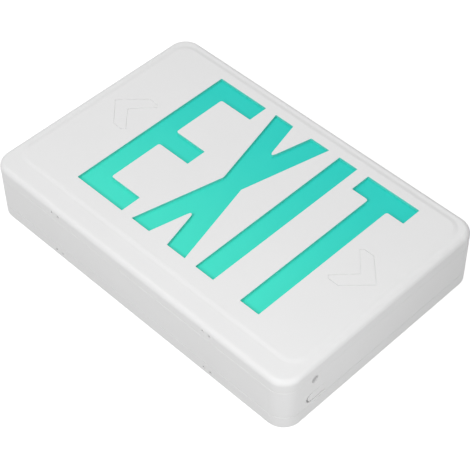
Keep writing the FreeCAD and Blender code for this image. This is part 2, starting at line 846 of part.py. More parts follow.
def add_ledges(frame):
    """Ledges on both end walls that the tray rests on; the left one stops short of the leads."""
    near_edge = -tray_back - dim.ledge_margin
    far_edge = dim.ledge_margin - tray_front + dim.ledge_margin
    outline = sketch(frame, "left_ledge_outline", FLOOR, tray_under)
    gap = dim.lead_pitch + dim.lead_gap * 3
    rectangle(outline, -inner_right, dim.ledge - inner_right, far_edge, -upper_lead_level - gap)
    rectangle(outline, -inner_right, dim.ledge - inner_right, gap - upper_lead_level, near_edge)
    pad(frame, "left_ledges", outline, dim.ledge_thickness, Reversed=True)
    outline = sketch(frame, "right_ledge_outline", FLOOR, bay_under)
    rectangle(outline, inner_right - dim.ledge, inner_right, far_edge, near_edge)
    pad(frame, "right_ledge", outline, dim.ledge_thickness, Reversed=True)


def add_lead_clips(frame):
    """Pairs of short ribs on the left wall that hold the upper bar's ribbon between them."""
    near = upper_lead_level - dim.lead_pitch - dim.lead_gap
    far = upper_lead_level + dim.lead_pitch + dim.lead_gap
    half = dim.clip_length / 2
    for name, level, toward_wall in (("near_clips", near, True), ("far_clips", far, False)):
        outline = sketch(frame, name + "_outline", FRONT, level)
        for up in (dim.clip_spacing / 2, -dim.clip_spacing / 2):
            rectangle(outline, -inner_right, dim.clip_height - inner_right, up - half, up + half)
        pad(frame, name, outline, dim.rail_thickness, Reversed=toward_wall)


def add_floor_fittings(frame):
    """What stands on the bottom wall: board bosses, tray posts, battery cradle and the test board's slot."""
    outline = sketch(frame, "boss_outline", FLOOR, floor_top)
    for level in boss_levels:
        for across in boss_xs:
            circle(outline, across, -level, dim.post_radius)
    pad(frame, "board_bosses", outline, dim.control_boss)
    outline = sketch(frame, "post_outline", FLOOR, floor_top)
    for level in post_levels:
        circle(outline, post_x, -level, dim.post_radius)
    pad(frame, "tray_posts", outline, tray_under - floor_top)

    near_edge = dim.rail_gap - dim.battery_back
    far_edge = -dim.battery_back - dim.cell_diameter * 2 - dim.rail_gap
    saddles = sketch(frame, "saddle_outline", FLOOR, floor_top)
    walls = sketch(frame, "cradle_outline", FLOOR, floor_top)
    for start in (battery_start + dim.strap_width, battery_end - dim.strap_width * 3):
        end = start + dim.strap_width * 2
        rectangle(saddles, start, end, far_edge - dim.cradle_thickness, near_edge + dim.cradle_thickness)
        rectangle(walls, start, end, near_edge, near_edge + dim.cradle_thickness)
        rectangle(walls, start, end, far_edge - dim.cradle_thickness, far_edge)
    pad(frame, "battery_saddles", saddles, dim.battery_lift)
    pad(frame, "battery_cradle", walls, dim.cradle_height)

    outline = sketch(frame, "board_slot_outline", FLOOR, floor_top)
    left = test_board_face - dim.board_thickness
    for start in (left - dim.rail_gap - dim.cradle_thickness, test_board_face + dim.rail_gap):
        rectangle(outline, start, start + dim.cradle_thickness, -test_board_front, -dim.test_board_back)
    pad(frame, "test_board_slot", outline, dim.cradle_height)


def make_housing_frame():
    frame = body("housing_frame")
    add_lips(frame)
    add_snap_beads(frame)
    add_right_end(frame)
    add_rails(frame)
    add_ledges(frame)
    add_lead_clips(frame)
    add_floor_fittings(frame)


def make_test_tongue():
    tongue = body("test_tongue")
    outline = sketch(tongue, "tongue_outline", SIDE, tongue_inner)
    tongue_outline(outline, tongue_level, dim.tongue_width, tongue_root, tongue_end + dim.tongue_end_gap)
    pad(tongue, "tongue_blade", outline, dim.tongue_thickness)
    outline = sketch(tongue, "nub_outline", SIDE, tongue_inner)
    circle(outline, -tongue_level, nub_z, dim.nub_radius)
    pad(tongue, "nub", outline, dim.nub_length, Reversed=True)
    chamfer(tongue, "nub_tip", at_side(tongue_inner - dim.nub_length), dim.nub_radius * 0.4)


# ---------------------------------------------------------------- the light

def make_light_tray():
    """A stepped shelf: low under the legend, high over the bay at the right end."""
    tray = body("light_tray")
    outline = sketch(tray, "tray_outline", FRONT, tray_back)
    step = bay_left + dim.tray_thickness
    end = inner_right - dim.tray_end_gap
    corners = [(-end, tray_under), (step, tray_under), (step, bay_under), (end, bay_under)]
    corners += [(end, bay_top), (bay_left, bay_top), (bay_left, tray_top), (-end, tray_top)]
    polygon(outline, corners)
    pad(tray, "tray_shelf", outline, tray_front - tray_back)

    outline = sketch(tray, "tray_rail_outline", SIDE, lower_bar_middle)
    edge = dim.bar_width / 2 + dim.rail_gap
    shelf = tray_top + dim.board_thickness + dim.rail_gap
    for side in (-1, 1):
        inner = -tray_middle + edge * side
        outer = inner + dim.rail_thickness * side
        hook = inner - dim.rail_bite * side
        shape = [(inner, tray_top), (outer, tray_top), (outer, shelf + dim.rail_thickness)]
        polygon(outline, shape + [(hook, shelf + dim.rail_thickness), (hook, shelf), (inner, shelf)])
    pad(tray, "tray_rails", outline, lower_bar_length, SideType="Symmetric")

    outline = sketch(tray, "tray_hole_outline", FLOOR, bay_top)
    half = dim.lead_pitch + dim.lead_gap * 2
    reach = lead_wall_x + dim.lead_bend
    rectangle(outline, -inner_right, reach, -upper_lead_level - half, half - upper_lead_level)
    start = -dim.lower_lead_start
    rectangle(outline, start - half, start + half, -lower_lead_level - half, half - lower_lead_level)
    pocket(tray, "tray_holes", outline, None)


def light_bar(board_name, chips_name, middle, length, under, face_up):
    """A narrow board, and its row of lamps on the side that faces the legend's middle."""
    board = body(board_name)
    outline = sketch(board, board_name + "_outline", FLOOR, under)
    half = length / 2
    edge = dim.bar_width / 2
    rectangle(outline, middle - half, middle + half, -tray_middle - edge, edge - tray_middle)
    pad(board, board_name + "_sheet", outline, dim.board_thickness)
    low = under + dim.board_thickness if face_up else under - dim.lamp_chip_height
    count = int(number((half - dim.bar_end_gap) / dim.lamp_chip_pitch))
    size = dim.lamp_chip
    chips = []
    for step in range(-count, count + 1):
        left = middle + dim.lamp_chip_pitch * step - size / 2
        name = f"{chips_name}_{step + count + 1}"
        chips.append(block(name, left, tray_middle - size / 2, low, size, size, dim.lamp_chip_height))
    group(chips_name, chips)


# ---------------------------------------------------------------- the works

def make_test_board():
    board = body("test_board")
    outline = sketch(board, "test_board_outline", SIDE, test_board_face - dim.board_thickness)
    rectangle(outline, -test_board_front, -dim.test_board_back, floor_top, bay_under)
    pad(board, "test_board_sheet", outline, dim.board_thickness)


def make_test_switch():
    case = body("test_switch")
    outline = sketch(case, "switch_outline", SIDE, test_board_face)
    half = dim.switch_size / 2
    rectangle(outline, -tongue_level - half, half - tongue_level, nub_z - half, nub_z + half)
    pad(case, "switch_case", outline, dim.switch_thickness)
    chamfer(case, "switch_chamfer", at_side(switch_face), dim.switch_edge)
    outline = sketch(case, "switch_bore_outline", SIDE, switch_face)
    circle(outline, -tongue_level, nub_z, dim.plunger_radius + dim.plunger_fit)
    pocket(case, "switch_bore", outline, dim.plunger_in + dim.plunger_travel + dim.plunger_gap)

    plunger = body("switch_plunger")
    outline = sketch(plunger, "plunger_outline", SIDE, switch_face - dim.plunger_in)
    circle(outline, -tongue_level, nub_z, dim.plunger_radius)
    pad(plunger, "plunger_pin", outline, dim.plunger_in + dim.plunger_out)
    chamfer(plunger, "plunger_tip", at_side(plunger_tip), dim.plunger_gap)


def make_indicator_lamp():
    """A round-nosed lamp on the test board, on the axis of the indicator hole."""
    lamp = body("indicator_lamp")
    outline = sketch(lamp, "flange_outline", SIDE, test_board_face)
    circle(outline, -indicator_level, indicator_z, dim.lamp_flange)
    pad(lamp, "lamp_flange", outline, dim.switch_edge * 2)
    outline = sketch(lamp, "lamp_outline", SIDE, test_board_face)
    circle(outline, -indicator_level, indicator_z, dim.lamp_radius)
    pad(lamp, "lamp_shaft", outline, dim.lamp_length)
    chamfer(lamp, "lamp_nose", at_side(test_board_face + dim.lamp_length), dim.lamp_radius * 0.4)


def make_control_board():
    board = body("control_board")
    outline = sketch(board, "control_outline", FLOOR, control_under)
    rectangle(outline, control_left, control_right, -control_front, -dim.control_back)
    pad(board, "control_sheet", outline, dim.board_thickness)


def make_transformer():
    left = test_socket_x - dim.socket_length / 2 - dim.part_gap - dim.transformer_width
    right = left + dim.transformer_width
    middle = left + dim.transformer_width / 2
    top = control_top + dim.transformer_height
    limb = dim.transformer_limb
    core = body("transformer_core")
    outline = sketch(core, "core_outline", FRONT, control_level - dim.transformer_stack / 2)
    rectangle(outline, left, right, control_top, top)
    rectangle(outline, left + limb, middle - limb, control_top + limb, top - limb)
    rectangle(outline, middle + limb, right - limb, control_top + limb, top - limb)
    pad(core, "core_stack", outline, dim.transformer_stack)

    coil = body("transformer_coil")
    gap = dim.lap_gap
    outline = sketch(coil, "coil_outline", FLOOR, control_top + limb + gap)
    width = dim.transformer_width - limb * 2 - gap * 2
    rounded_rectangle(outline, width, dim.coil_depth, dim.letter_round, middle, -control_level)
    stack = dim.transformer_stack / 2 + gap
    bore = limb + gap
    rectangle(outline, middle - bore, middle + bore, -control_level - stack, stack - control_level)
    pad(coil, "coil_winding", outline, dim.transformer_height - limb * 2 - gap * 2)


def dressed(kind, base, size, test):
    """A primitive with some of its edges rounded or bevelled by one size."""
    made = doc.addObject(kind, base.Name + "_edged")
    made.Base = base
    doc.recompute()
    edges = [index for index, edge in enumerate(base.Shape.Edges, start=1) if test(edge)]
    made.Edges = [(index, number(size), number(size)) for index in edges]
    return made


def make_board_parts():
    """What else stands on the control board, each kind a sub-part."""
    high = dim.can_height
    low = dim.can_height * 0.8
    back_level = control_level - dim.can_radius - dim.part_gap
    front_level = control_level + dim.can_radius + dim.part_gap
    coil_left = test_socket_x - dim.socket_length / 2 - dim.part_gap - dim.transformer_width
    relay_left = coil_left - dim.part_gap * 2 - dim.relay_length
    big_x = relay_left - dim.part_gap - dim.can_radius
    small_x = big_x - dim.part_gap - dim.can_radius * 2
    small = dim.can_radius * 0.8
    cans = [rod("filter_can", big_x, back_level, control_top, dim.can_radius, high)]
    cans.append(rod("output_can", big_x, front_level, control_top, dim.can_radius, low))
    cans.append(rod("supply_can", small_x, back_level, control_top, small, low))
    group("capacitors", cans)

    top = control_top + dim.relay_height
    back = control_level - dim.relay_width / 2
    sizes = (dim.relay_length, dim.relay_width, dim.relay_height)
    case = block("relay_case", relay_left, back, control_top, *sizes)
    single(dressed("Part::Chamfer", case, dim.relay_edge, at_height(top)), "relay")

    chip_left = small_x - dim.chip_length / 2
    front = control_level + dim.part_gap
    sizes = (dim.chip_length, dim.chip_width, dim.chip_height)
    chips = [block("driver_chip", chip_left, front, control_top, *sizes)]
    back = front + dim.chip_width + dim.part_gap
    sizes = (dim.resistor_width, dim.resistor_length, dim.resistor_height)
    for step in range(3):
        left = chip_left + dim.resistor_pitch * step
        chips.append(block(f"resistor_{step + 1}", left, back, control_top, *sizes))
    group("board_chips", chips)


def make_sockets():
    """Sockets on the boards and the plugs in them; a socket is as long as its leads need."""
    sockets = []
    plugs = []
    pairs = [("light", socket_x, tray_middle, 4), ("battery", socket_x, battery_lead_level, 2)]
    pairs.append(("test", test_socket_x, tray_middle, 2))
    length = dim.socket_length
    inset = dim.plug_inset
    for name, middle, level, ways in pairs:
        half = dim.lead_pitch * ((ways - 1) / 2) + dim.socket_margin - dim.plug_inset
        left = middle - length / 2
        back = level - half
        socket_top = control_top + dim.socket_height
        socket = (length, half * 2, dim.socket_height)
        plug = (length - inset * 2, (half - inset) * 2, dim.plug_height)
        sockets.append(block(name + "_socket", left, back, control_top, *socket))
        plugs.append(block(name + "_plug", left + inset, back + inset, socket_top, *plug))
    half = dim.lead_pitch / 2 + dim.socket_margin - inset
    low = lead_z - length / 2
    board_side = test_board_face - dim.board_thickness
    socket = (dim.socket_height, half * 2, length)
    plug = (dim.plug_height, (half - inset) * 2, length - inset * 2)
    back = tray_middle - half
    sockets.append(block("end_socket", board_side - dim.socket_height, back, low, *socket))
    end = board_side - dim.socket_height - dim.plug_height
    plugs.append(block("end_plug", end, back + inset, low + inset, *plug))
    group("lead_sockets", sockets)
    group("lead_plugs", plugs)


def make_battery():
    """Four cells in one shrink sleeve: two lobes, with a flat between them above and below."""
    pack = body("battery_pack")
    outline = sketch(pack, "battery_outline", SIDE, battery_start)
    radius = dim.cell_diameter / 2
    centres = [(-dim.battery_back - radius, battery_under + radius)]
    centres.append((-dim.battery_back - radius * 3, battery_under + radius))
    arc_chain(outline, centres, radius, -math.pi / 2, math.pi)
    pad(pack, "battery_sleeve", outline, dim.cell_length * 2)
    edges = edges_of(pack, at_side(battery_start)) + edges_of(pack, at_side(battery_end))
    dress(pack, "PartDesign::Chamfer", "battery_ends", edges, "Size", dim.battery_edge)

    strap = body("battery_strap")
    start = battery_start + dim.cell_length - dim.strap_width / 2
    outline = sketch(strap, "strap_outline", SIDE, start)
    (near, up), (far, _) = centres
    for reach in (radius + dim.strap_gap, radius + dim.strap_gap + dim.strap_thickness):
        flat = reach * (ROOT_TWO - 1)
        corners = [(near + flat, up - reach), (near + reach, up - flat), (near + reach, up + flat)]
        corners += [(near + flat, up + reach), (far - flat, up + reach), (far - reach, up + flat)]
        polygon(outline, corners + [(far - reach, up - flat), (far - flat, up - reach)])
    pad(strap, "strap_band", outline, dim.strap_width)


# ---------------------------------------------------------------- the leads

def rounded_path(points, bends):
    """Straight runs through the points, each inner corner turned by a tangent arc of its own radius."""
    edges = []
    start = points[0]
    for before, corner, after, radius in zip(points, points[1:], points[2:], bends):
        back = (before - corner).normalize()
        forth = (after - corner).normalize()
        half_turn = (math.pi - back.getAngle(forth)) / 2
        setback = radius * math.tan(half_turn)
        middle = corner + (back + forth).normalize() * (radius / math.cos(half_turn) - radius)
        leaving = corner + forth * setback
        edges.append(Part.LineSegment(start, corner + back * setback).toShape())
        edges.append(Part.Arc(corner + back * setback, middle, leaving).toShape())
        start = leaving
    edges.append(Part.LineSegment(start, points[-1]).toShape())
    return Part.Wire(edges)


def ribbon(name, level, ways, places, bends):
    """A flat ribbon lead of several wires side by side, bent only across its flat."""
    radii = [number(bend) for bend in bends]
    half_width = number(dim.lead_pitch * (ways / 2))
    half_thickness = number(dim.lead_thickness / 2)
    points = [vector(across, -level, up) for across, up in places]
    path = rounded_path(points, radii)
    across = FreeCAD.Vector(0, half_width, 0)
    up = (points[1] - points[0]).normalize().cross(FreeCAD.Vector(0, 1, 0)) * half_thickness
    start = points[0]
    corners = [start + across + up, start - across + up, start - across - up, start + across - up]
    section = Part.makePolygon(corners + corners[:1])
    made = doc.addObject("Part::Feature", name)
    made.Shape = path.makePipeShell([section], True, False)
    made.Placement = FreeCAD.Placement()
    made.Label = name
    parts.append(made)
    length = made.Shape.Volume / (4 * half_width * half_thickness)
    print(name, "bend radii", radii, "length", round(length, 1), "path", round(path.Length, 1))


def make_leads():
    """The upper bar's ribbon follows the left end of the case; all run above the battery to the boards."""
    bar_z = bar_under + dim.board_thickness / 2
    route = [(-upper_bar_length / 2, bar_z), (lead_wall_x, bar_z), (lead_wall_x, lead_z)]
    route += [(socket_x, lead_z), (socket_x, plug_top)]
    ribbon("upper_bar_leads", upper_lead_level, 2, route, [lead_corner, dim.lead_bend, dim.plug_bend])

    start = -dim.lower_lead_start
    route = [(start, tray_top), (start, lead_z), (socket_x, lead_z), (socket_x, plug_top)]
    ribbon("lower_bar_leads", lower_lead_level, 2, route, [dim.plug_bend * 0.8, dim.plug_bend])

    cell_top = battery_under + dim.cell_diameter * 0.65
    route = [(battery_end, cell_top), (battery_end + dim.lead_bend * 0.8, cell_top)]
    route += [(battery_end + dim.lead_bend * 1.6, lead_z), (socket_x, lead_z), (socket_x, plug_top)]
    bends = [dim.lead_bend * 0.8, dim.lead_bend * 0.8, dim.plug_bend]
    ribbon("battery_leads", battery_lead_level, 2, route, bends)

    end = test_board_face - dim.board_thickness - dim.socket_height - dim.plug_height
    route = [(test_socket_x, plug_top), (test_socket_x, lead_z), (end, lead_z)]
    ribbon("test_leads", tray_middle, 2, route, [dim.plug_bend])


def check_and_write():
    os.makedirs("parts", exist_ok=True)
    for item in doc.Objects:
        if "Invalid" in item.State or "Error" in item.State:
            raise ValueError(f"{item.Name} failed: {item.State}")
    for part in parts:
        if part.Shape.isNull() or not part.Shape.isValid() or not part.Shape.Solids:
            raise ValueError(f"{part.Label} has no good shape")
        part.Shape.exportStep(f"parts/{part.Label}.step")


make_front_cover()
make_diffuser()
make_back_plate()
make_housing_frame()
make_test_tongue()
make_light_tray()
light_bar("upper_light_bar", "upper_lamps", 0.0 * half_width, upper_bar_length, bar_under, False)
light_bar("lower_light_bar", "lower_lamps", lower_bar_middle, lower_bar_length, tray_top, True)
make_test_board()
make_test_switch()
make_indicator_lamp()
make_control_board()
make_transformer()
make_board_parts()
make_sockets()
make_battery()
make_leads()
doc.recompute()
check_and_write()
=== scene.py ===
"""Looks, camera and lamps for a wall-fixed emergency exit light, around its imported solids."""
import math

import bmesh
import bpy
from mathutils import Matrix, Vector


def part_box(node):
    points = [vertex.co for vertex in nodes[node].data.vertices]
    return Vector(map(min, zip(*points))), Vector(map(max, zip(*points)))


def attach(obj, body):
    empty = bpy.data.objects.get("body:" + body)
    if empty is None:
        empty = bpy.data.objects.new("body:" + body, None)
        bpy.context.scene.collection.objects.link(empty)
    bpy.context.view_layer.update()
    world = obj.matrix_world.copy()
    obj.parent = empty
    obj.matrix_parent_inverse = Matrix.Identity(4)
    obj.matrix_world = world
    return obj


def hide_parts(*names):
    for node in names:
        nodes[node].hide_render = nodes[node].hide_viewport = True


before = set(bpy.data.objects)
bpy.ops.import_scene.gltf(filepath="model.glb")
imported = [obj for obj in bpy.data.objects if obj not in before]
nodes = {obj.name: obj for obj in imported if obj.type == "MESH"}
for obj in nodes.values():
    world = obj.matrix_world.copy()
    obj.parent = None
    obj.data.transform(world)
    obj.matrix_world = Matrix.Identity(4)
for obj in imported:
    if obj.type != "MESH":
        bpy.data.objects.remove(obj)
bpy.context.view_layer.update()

MM = 0.001

# ---------------------------------------------------------------- finishes


class Finish:
    """A material under the maker's hand: its shader and the nodes that feed it."""

    def __init__(self, name, colour, roughness, **uniform):
        self.material = bpy.data.materials.new(name)
        self.material.use_nodes = True
        self.material.diffuse_color = (*colour, 1.0)
        self.tree = self.material.node_tree
        self.shader = self.tree.nodes["Principled BSDF"]
        self.shader.inputs["Base Color"].default_value = (*colour, 1.0)
        self.shader.inputs["Roughness"].default_value = roughness
        for socket, value in uniform.items():
            self.shader.inputs[socket.replace("_", " ")].default_value = value
        self.place = self.tree.nodes.new("ShaderNodeTexCoord").outputs["Object"]
        self.height = None

    def link(self, start, end):
        """Joins one node's output to another's input."""
        self.tree.links.new(start, end)

    def node(self, kind, **settings):
        """Adds a node of a kind, with its settings."""
        made = self.tree.nodes.new(kind)
        for name, value in settings.items():
            setattr(made, name, value)
        return made

    def mapped(self, scale=(1, 1, 1), place=(0, 0, 0), turn=(0, 0, 0)):
        """The object's own coordinates, moved, turned and stretched for a pattern."""
        mapping = self.node("ShaderNodeMapping")
        mapping.inputs["Location"].default_value = place
        mapping.inputs["Rotation"].default_value = turn
        mapping.inputs["Scale"].default_value = scale
        self.link(self.place, mapping.inputs["Vector"])
        return mapping.outputs["Vector"]

    def noise(self, scale, detail=2.0, place=None):
        """A value that wanders over the surface, with so many waves to the metre."""
        made = self.node("ShaderNodeTexNoise")
        made.inputs["Scale"].default_value = scale
        made.inputs["Detail"].default_value = detail
        self.link(place or self.place, made.inputs["Vector"])
        return made.outputs["Fac"]

    def ramp(self, value, *stops):
        """A colour or grey that follows a value from stop to stop."""
        made = self.node("ShaderNodeValToRGB")
        points = made.color_ramp.elements
        while len(points) < len(stops):
            points.new(0.5)
        for point, (position, colour) in zip(points, stops):
            point.position = position
            point.color = (*colour, 1.0)
        self.link(value, made.inputs["Fac"])
        return made.outputs["Color"]

    def span(self, value, low, high, start=0.0, end=1.0):
        """A value taken smoothly from one range to another, and held at the ends."""
        made = self.node("ShaderNodeMapRange", interpolation_type="SMOOTHSTEP")
        limits = {"From Min": low, "From Max": high, "To Min": start, "To Max": end}
        for socket, number in limits.items():
            made.inputs[socket].default_value = number
        self.link(value, made.inputs["Value"])
        return made.outputs["Result"]

    def mix(self, factor, first, second):
        """The first colour where the factor is 0 and the second where it is 1."""
        made = self.node("ShaderNodeMix", data_type="RGBA", blend_type="MIX")
        for socket, value in (("Factor", factor), ("A", first), ("B", second)):
            target = [s for s in made.inputs if s.name == socket and s.enabled][0]
            if isinstance(value, bpy.types.NodeSocket):
                self.link(value, target)
            elif socket == "Factor":
                target.default_value = value
            else:
                target.default_value = (*value, 1.0)
        return [s for s in made.outputs if s.enabled][0]

    def math(self, operation, first, second=0.0):
        """One sum on values or numbers."""
        made = self.node("ShaderNodeMath", operation=operation)
        for target, value in zip(made.inputs, (first, second)):
            if isinstance(value, bpy.types.NodeSocket):
                self.link(value, target)
            else:
                target.default_value = value
        return made.outputs[0]

    def colour(self, value):
        """Feeds the surface's colour."""
        self.link(value, self.shader.inputs["Base Color"])

    def mottle(self, tone, low, high, first, second):
        """A colour that drifts from the first to the second as a tone rises from low to high."""
        self.colour(self.mix(self.span(tone, low, high), first, second))

    def rough(self, tone, low, high):
        """A roughness that drifts between two values with a tone."""
        self.link(self.span(tone, 0.3, 0.7, low, high), self.shader.inputs["Roughness"])

    def relief(self, height, distance, strength=1.0):
        """Raises the surface by a height pattern, over any relief that it has already."""
        made = self.node("ShaderNodeBump")
        made.inputs["Strength"].default_value = strength
        made.inputs["Distance"].default_value = distance
        self.link(height, made.inputs["Height"])
        if self.height:
            self.link(self.height, made.inputs["Normal"])
        self.height = made.outputs["Normal"]
        self.link(self.height, self.shader.inputs["Normal"])


def moulded(name, colour, roughness=0.5, texture=0.02):
    """Moulded plastic: a fine spark texture, a faint waviness and slight shifts of tone."""
    made = Finish(name, colour, roughness)
    made.mottle(made.noise(9.0, 3.0), 0.35, 0.65, colour, tuple(c * 0.985 for c in colour))
    fine = made.noise(1400.0, 3.0)
    made.rough(fine, roughness - 0.05, roughness + 0.08)
    made.relief(made.noise(30.0, 1.0), 0.4 * MM, 0.12)
    made.relief(fine, texture * MM, 0.5)
    return made.material


def stripes(made, axis, pitch, place=None):
    """A value that swings once for each pitch, in millimetres, along an axis."""
    wave = made.node("ShaderNodeTexWave", bands_direction=axis)
    wave.inputs["Scale"].default_value = math.pi / (10 * pitch * MM)
    made.link(place or made.place, wave.inputs["Vector"])
    return wave.outputs["Fac"]


def green_sheet():
    """Translucent green sheet, a little darker towards its top: painted shade, as the light falls
    from below.
    """
    low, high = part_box("green_diffuser")
    made = Finish("green_sheet", (0.05, 0.70, 0.56), 0.6, Specular_IOR_Level=0.12)
    parts = made.node("ShaderNodeSeparateXYZ")
    made.link(made.place, parts.inputs["Vector"])
    # The colour darkens from the sheet's foot to its top: painted shade.
    level = made.span(parts.outputs["Z"], low.z, high.z)
    made.colour(made.ramp(level, (0.0, (0.067, 0.824, 0.64)), (1.0, (0.032, 0.714, 0.62))))
    made.rough(made.noise(60.0, 1.0), 0.56, 0.64)
    made.relief(made.noise(25.0, 1.0), 0.4 * MM, 0.08)
    return made.material


def window_wall_shade():
    """The cut wall of a letter window in a dark green: painted shade, with painted green light
    bounced off the sheet that it meets.
    """
    made = Finish("window_wall_shade", (0.12, 0.65, 0.58), 0.6)
    made.mottle(made.noise(200.0), 0.35, 0.65, (0.125, 0.67, 0.60), (0.115, 0.63, 0.565))
    return made.material


def board(name, mask, track, turn, pitch):
    """A circuit board: solder mask over raised tracks, with small tinned pads."""
    made = Finish(name, mask, 0.32)
    place = made.mapped(turn=turn)
    bricks = made.node("ShaderNodeTexBrick", offset=0.37, squash=0.6, squash_frequency=3)
    made.link(place, bricks.inputs["Vector"])
    tracks = {"Scale": 1.0, "Mortar Size": 0.16 * pitch * MM, "Mortar Smooth": 0.2,
              "Brick Width": 4.0 * pitch * MM, "Row Height": pitch * MM}
    for socket, value in tracks.items():
        bricks.inputs[socket].default_value = value
    cells = made.node("ShaderNodeTexVoronoi", voronoi_dimensions="2D")
    cells.inputs["Scale"].default_value = 1.0 / (3.0 * pitch * MM)
    made.link(place, cells.inputs["Vector"])
    pads = made.span(cells.outputs["Distance"], 0.10, 0.14, 1.0, 0.0)
    tracked = made.mix(bricks.outputs["Fac"], track, mask)
    made.colour(made.mix(pads, tracked, (0.72, 0.70, 0.66)))
    made.link(made.math("MULTIPLY", pads, 0.9), made.shader.inputs["Metallic"])
    made.rough(made.noise(90.0), 0.26, 0.4)
    made.relief(made.math("SUBTRACT", 1.0, bricks.outputs["Fac"]), 0.05 * MM, 0.6)
    return made.material


LAMP_PITCH, LAMP_OUT = 22 * MM, 27 * MM
PHOSPHOR_RIM = (1.15 * MM, 1.3 * MM)


def lamp_row(name, row):
    """Light chips in a row: white bodies, each with a round yellow phosphor face."""
    low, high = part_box(row)
    middle = (low.x + high.x) / 2
    body, phosphor = (0.85, 0.85, 0.82), (0.85, 0.62, 0.10)
    made = Finish(name, body, 0.35)
    parts = made.node("ShaderNodeSeparateXYZ")
    made.link(made.mapped(place=(-middle, LAMP_OUT, 0)), parts.inputs["Vector"])
    step = made.math("DIVIDE", parts.outputs["X"], LAMP_PITCH)
    along = made.math("SUBTRACT", step, made.math("ROUND", step))
    along = made.math("MULTIPLY", along, LAMP_PITCH)
    reach = made.math("SQRT", made.math(
        "ADD", made.math("POWER", along, 2.0), made.math("POWER", parts.outputs["Y"], 2.0)))
    face = made.span(reach, *PHOSPHOR_RIM, 1.0, 0.0)
    made.colour(made.mix(face, body, phosphor))
    made.rough(made.noise(900.0), 0.3, 0.5)
    made.relief(face, 0.1 * MM, 0.5)
    return made.material


def red_lens():
    """Clear red resin."""
    made = Finish("red_lens", (0.75, 0.03, 0.02), 0.12, Transmission_Weight=0.6, IOR=1.49)
    tone = made.noise(300.0, 1.0)
    made.mottle(tone, 0.3, 0.7, (0.75, 0.03, 0.02), (0.60, 0.02, 0.02))
    made.relief(tone, 0.03 * MM, 0.2)
    return made.material


def laminated_steel():
    """Stacked sheets of core steel: fine bright and dark edges, faintly oiled and stained."""
    steel = (0.36, 0.36, 0.38)
    made = Finish("laminated_steel", steel, 0.38, Metallic=0.9)
    sheets = stripes(made, "Y", 0.5)
    stain = made.span(made.noise(160.0, 4.0), 0.45, 0.7)
    edged = made.mix(sheets, (0.16, 0.16, 0.17), steel)
    made.colour(made.mix(stain, edged, (0.26, 0.20, 0.15)))
    made.rough(made.noise(400.0), 0.3, 0.5)
    made.relief(sheets, 0.06 * MM, 0.7)
    return made.material


def plated_steel():
    """Zinc-plated screws, with fine turning lines."""
    steel = (0.62, 0.62, 0.60)
    made = Finish("plated_steel", steel, 0.3, Metallic=1.0)
    tone = made.noise(700.0, 3.0)
    made.mottle(tone, 0.35, 0.7, steel, (0.50, 0.49, 0.44))
    made.rough(tone, 0.24, 0.42)
    made.relief(made.noise(2500.0, 1.0), 0.01 * MM, 0.5)
    return made.material


def can_metal():
    """Bright drawn aluminium, on the top of a can."""
    made = Finish("aluminium", (0.75, 0.75, 0.76), 0.3, Metallic=1.0)
    made.rough(made.noise(900.0, 3.0), 0.22, 0.4)
    made.relief(made.noise(1800.0), 0.01 * MM, 0.4)
    return made.material


def coil_tape():
    """Yellow tape wound round a coil, its turns' edges just showing."""
    tape = (0.80, 0.52, 0.06)
    made = Finish("coil_tape", tape, 0.28)
    turns = stripes(made, "Z", 2.2, made.mapped(turn=(0.03, 0.0, 0.0)))
    made.colour(made.mix(made.span(turns, 0.0, 0.25, 1.0, 0.0), tape, (0.55, 0.33, 0.03)))
    made.rough(made.noise(500.0), 0.22, 0.36)
    made.relief(turns, 0.08 * MM, 0.6)
    made.relief(made.noise(250.0), 0.05 * MM, 0.4)
    return made.material


def shrink_film(name, colour, second, along):
    """Shrunk film: glossy, with fine creases that run one way."""
    made = Finish(name, colour, 0.22)
    stretch = (40.0, 300.0, 300.0) if along == "X" else (300.0, 300.0, 40.0)
    creases = made.noise(1.0, 3.0, made.mapped(scale=stretch))
    made.mottle(creases, 0.4, 0.7, colour, second)
    made.rough(made.noise(200.0), 0.16, 0.3)
    made.relief(creases, 0.12 * MM, 0.5)
    return made.material


def woven(name, colour):
    """Narrow woven tape: a fine over-and-under weave."""
    made = Finish(name, colour, 0.8)
    over, under = stripes(made, "X", 0.9), stripes(made, "Y", 0.9)
    weave = made.math("MULTIPLY", over, made.math("MAXIMUM", under, stripes(made, "Z", 0.9)))
    made.colour(made.mix(weave, colour, tuple(c * 2.4 for c in colour)))
    made.relief(weave, 0.15 * MM, 0.8)
    return made.material


def lead_skin(name, colour):
    """PVC insulation: satin, with slight dents and scuffs."""
    made = Finish(name, colour, 0.34)
    dents = made.noise(350.0)
    made.mottle(dents, 0.4, 0.7, colour, tuple(c * 0.8 for c in colour))
    made.rough(dents, 0.28, 0.42)
    made.relief(dents, 0.05 * MM, 0.4)
    return made.material


def dress(piece, *materials):
    """Gives a piece these materials and no others."""
    piece.data.materials.clear()
    for material in materials:
        piece.data.materials.append(material)


white_case = moulded("white_case", (0.86, 0.86, 0.86))
# The back plate is the case's white a touch darker: painted shade along the back edge by the wall.
back_case = moulded("back_case", (0.852, 0.852, 0.852))
window_shade_green = window_wall_shade()
black_plastic = moulded("black_plastic", (0.03, 0.03, 0.032), 0.42)
steel_plated = plated_steel()
aluminium = can_metal()
can_film = shrink_film("can_film", (0.035, 0.045, 0.12), (0.05, 0.06, 0.15), "Z")
can_band = shrink_film("can_band", (0.55, 0.57, 0.62), (0.48, 0.50, 0.56), "Z")
red_lead = lead_skin("red_lead", (0.55, 0.03, 0.02))
black_lead = lead_skin("black_lead", (0.025, 0.025, 0.027))

MASK_GREEN, TRACK_GREEN = (0.02, 0.20, 0.08), (0.05, 0.32, 0.14)
MASK_WHITE, TRACK_WHITE = (0.82, 0.83, 0.81), (0.74, 0.77, 0.74)
LIGHT_TRACK, WORKS_TRACK = 1.6, 1.3
BOARD_FLAT, BOARD_ON_EDGE = (0, 0, 0), (0, math.pi / 2, 0)

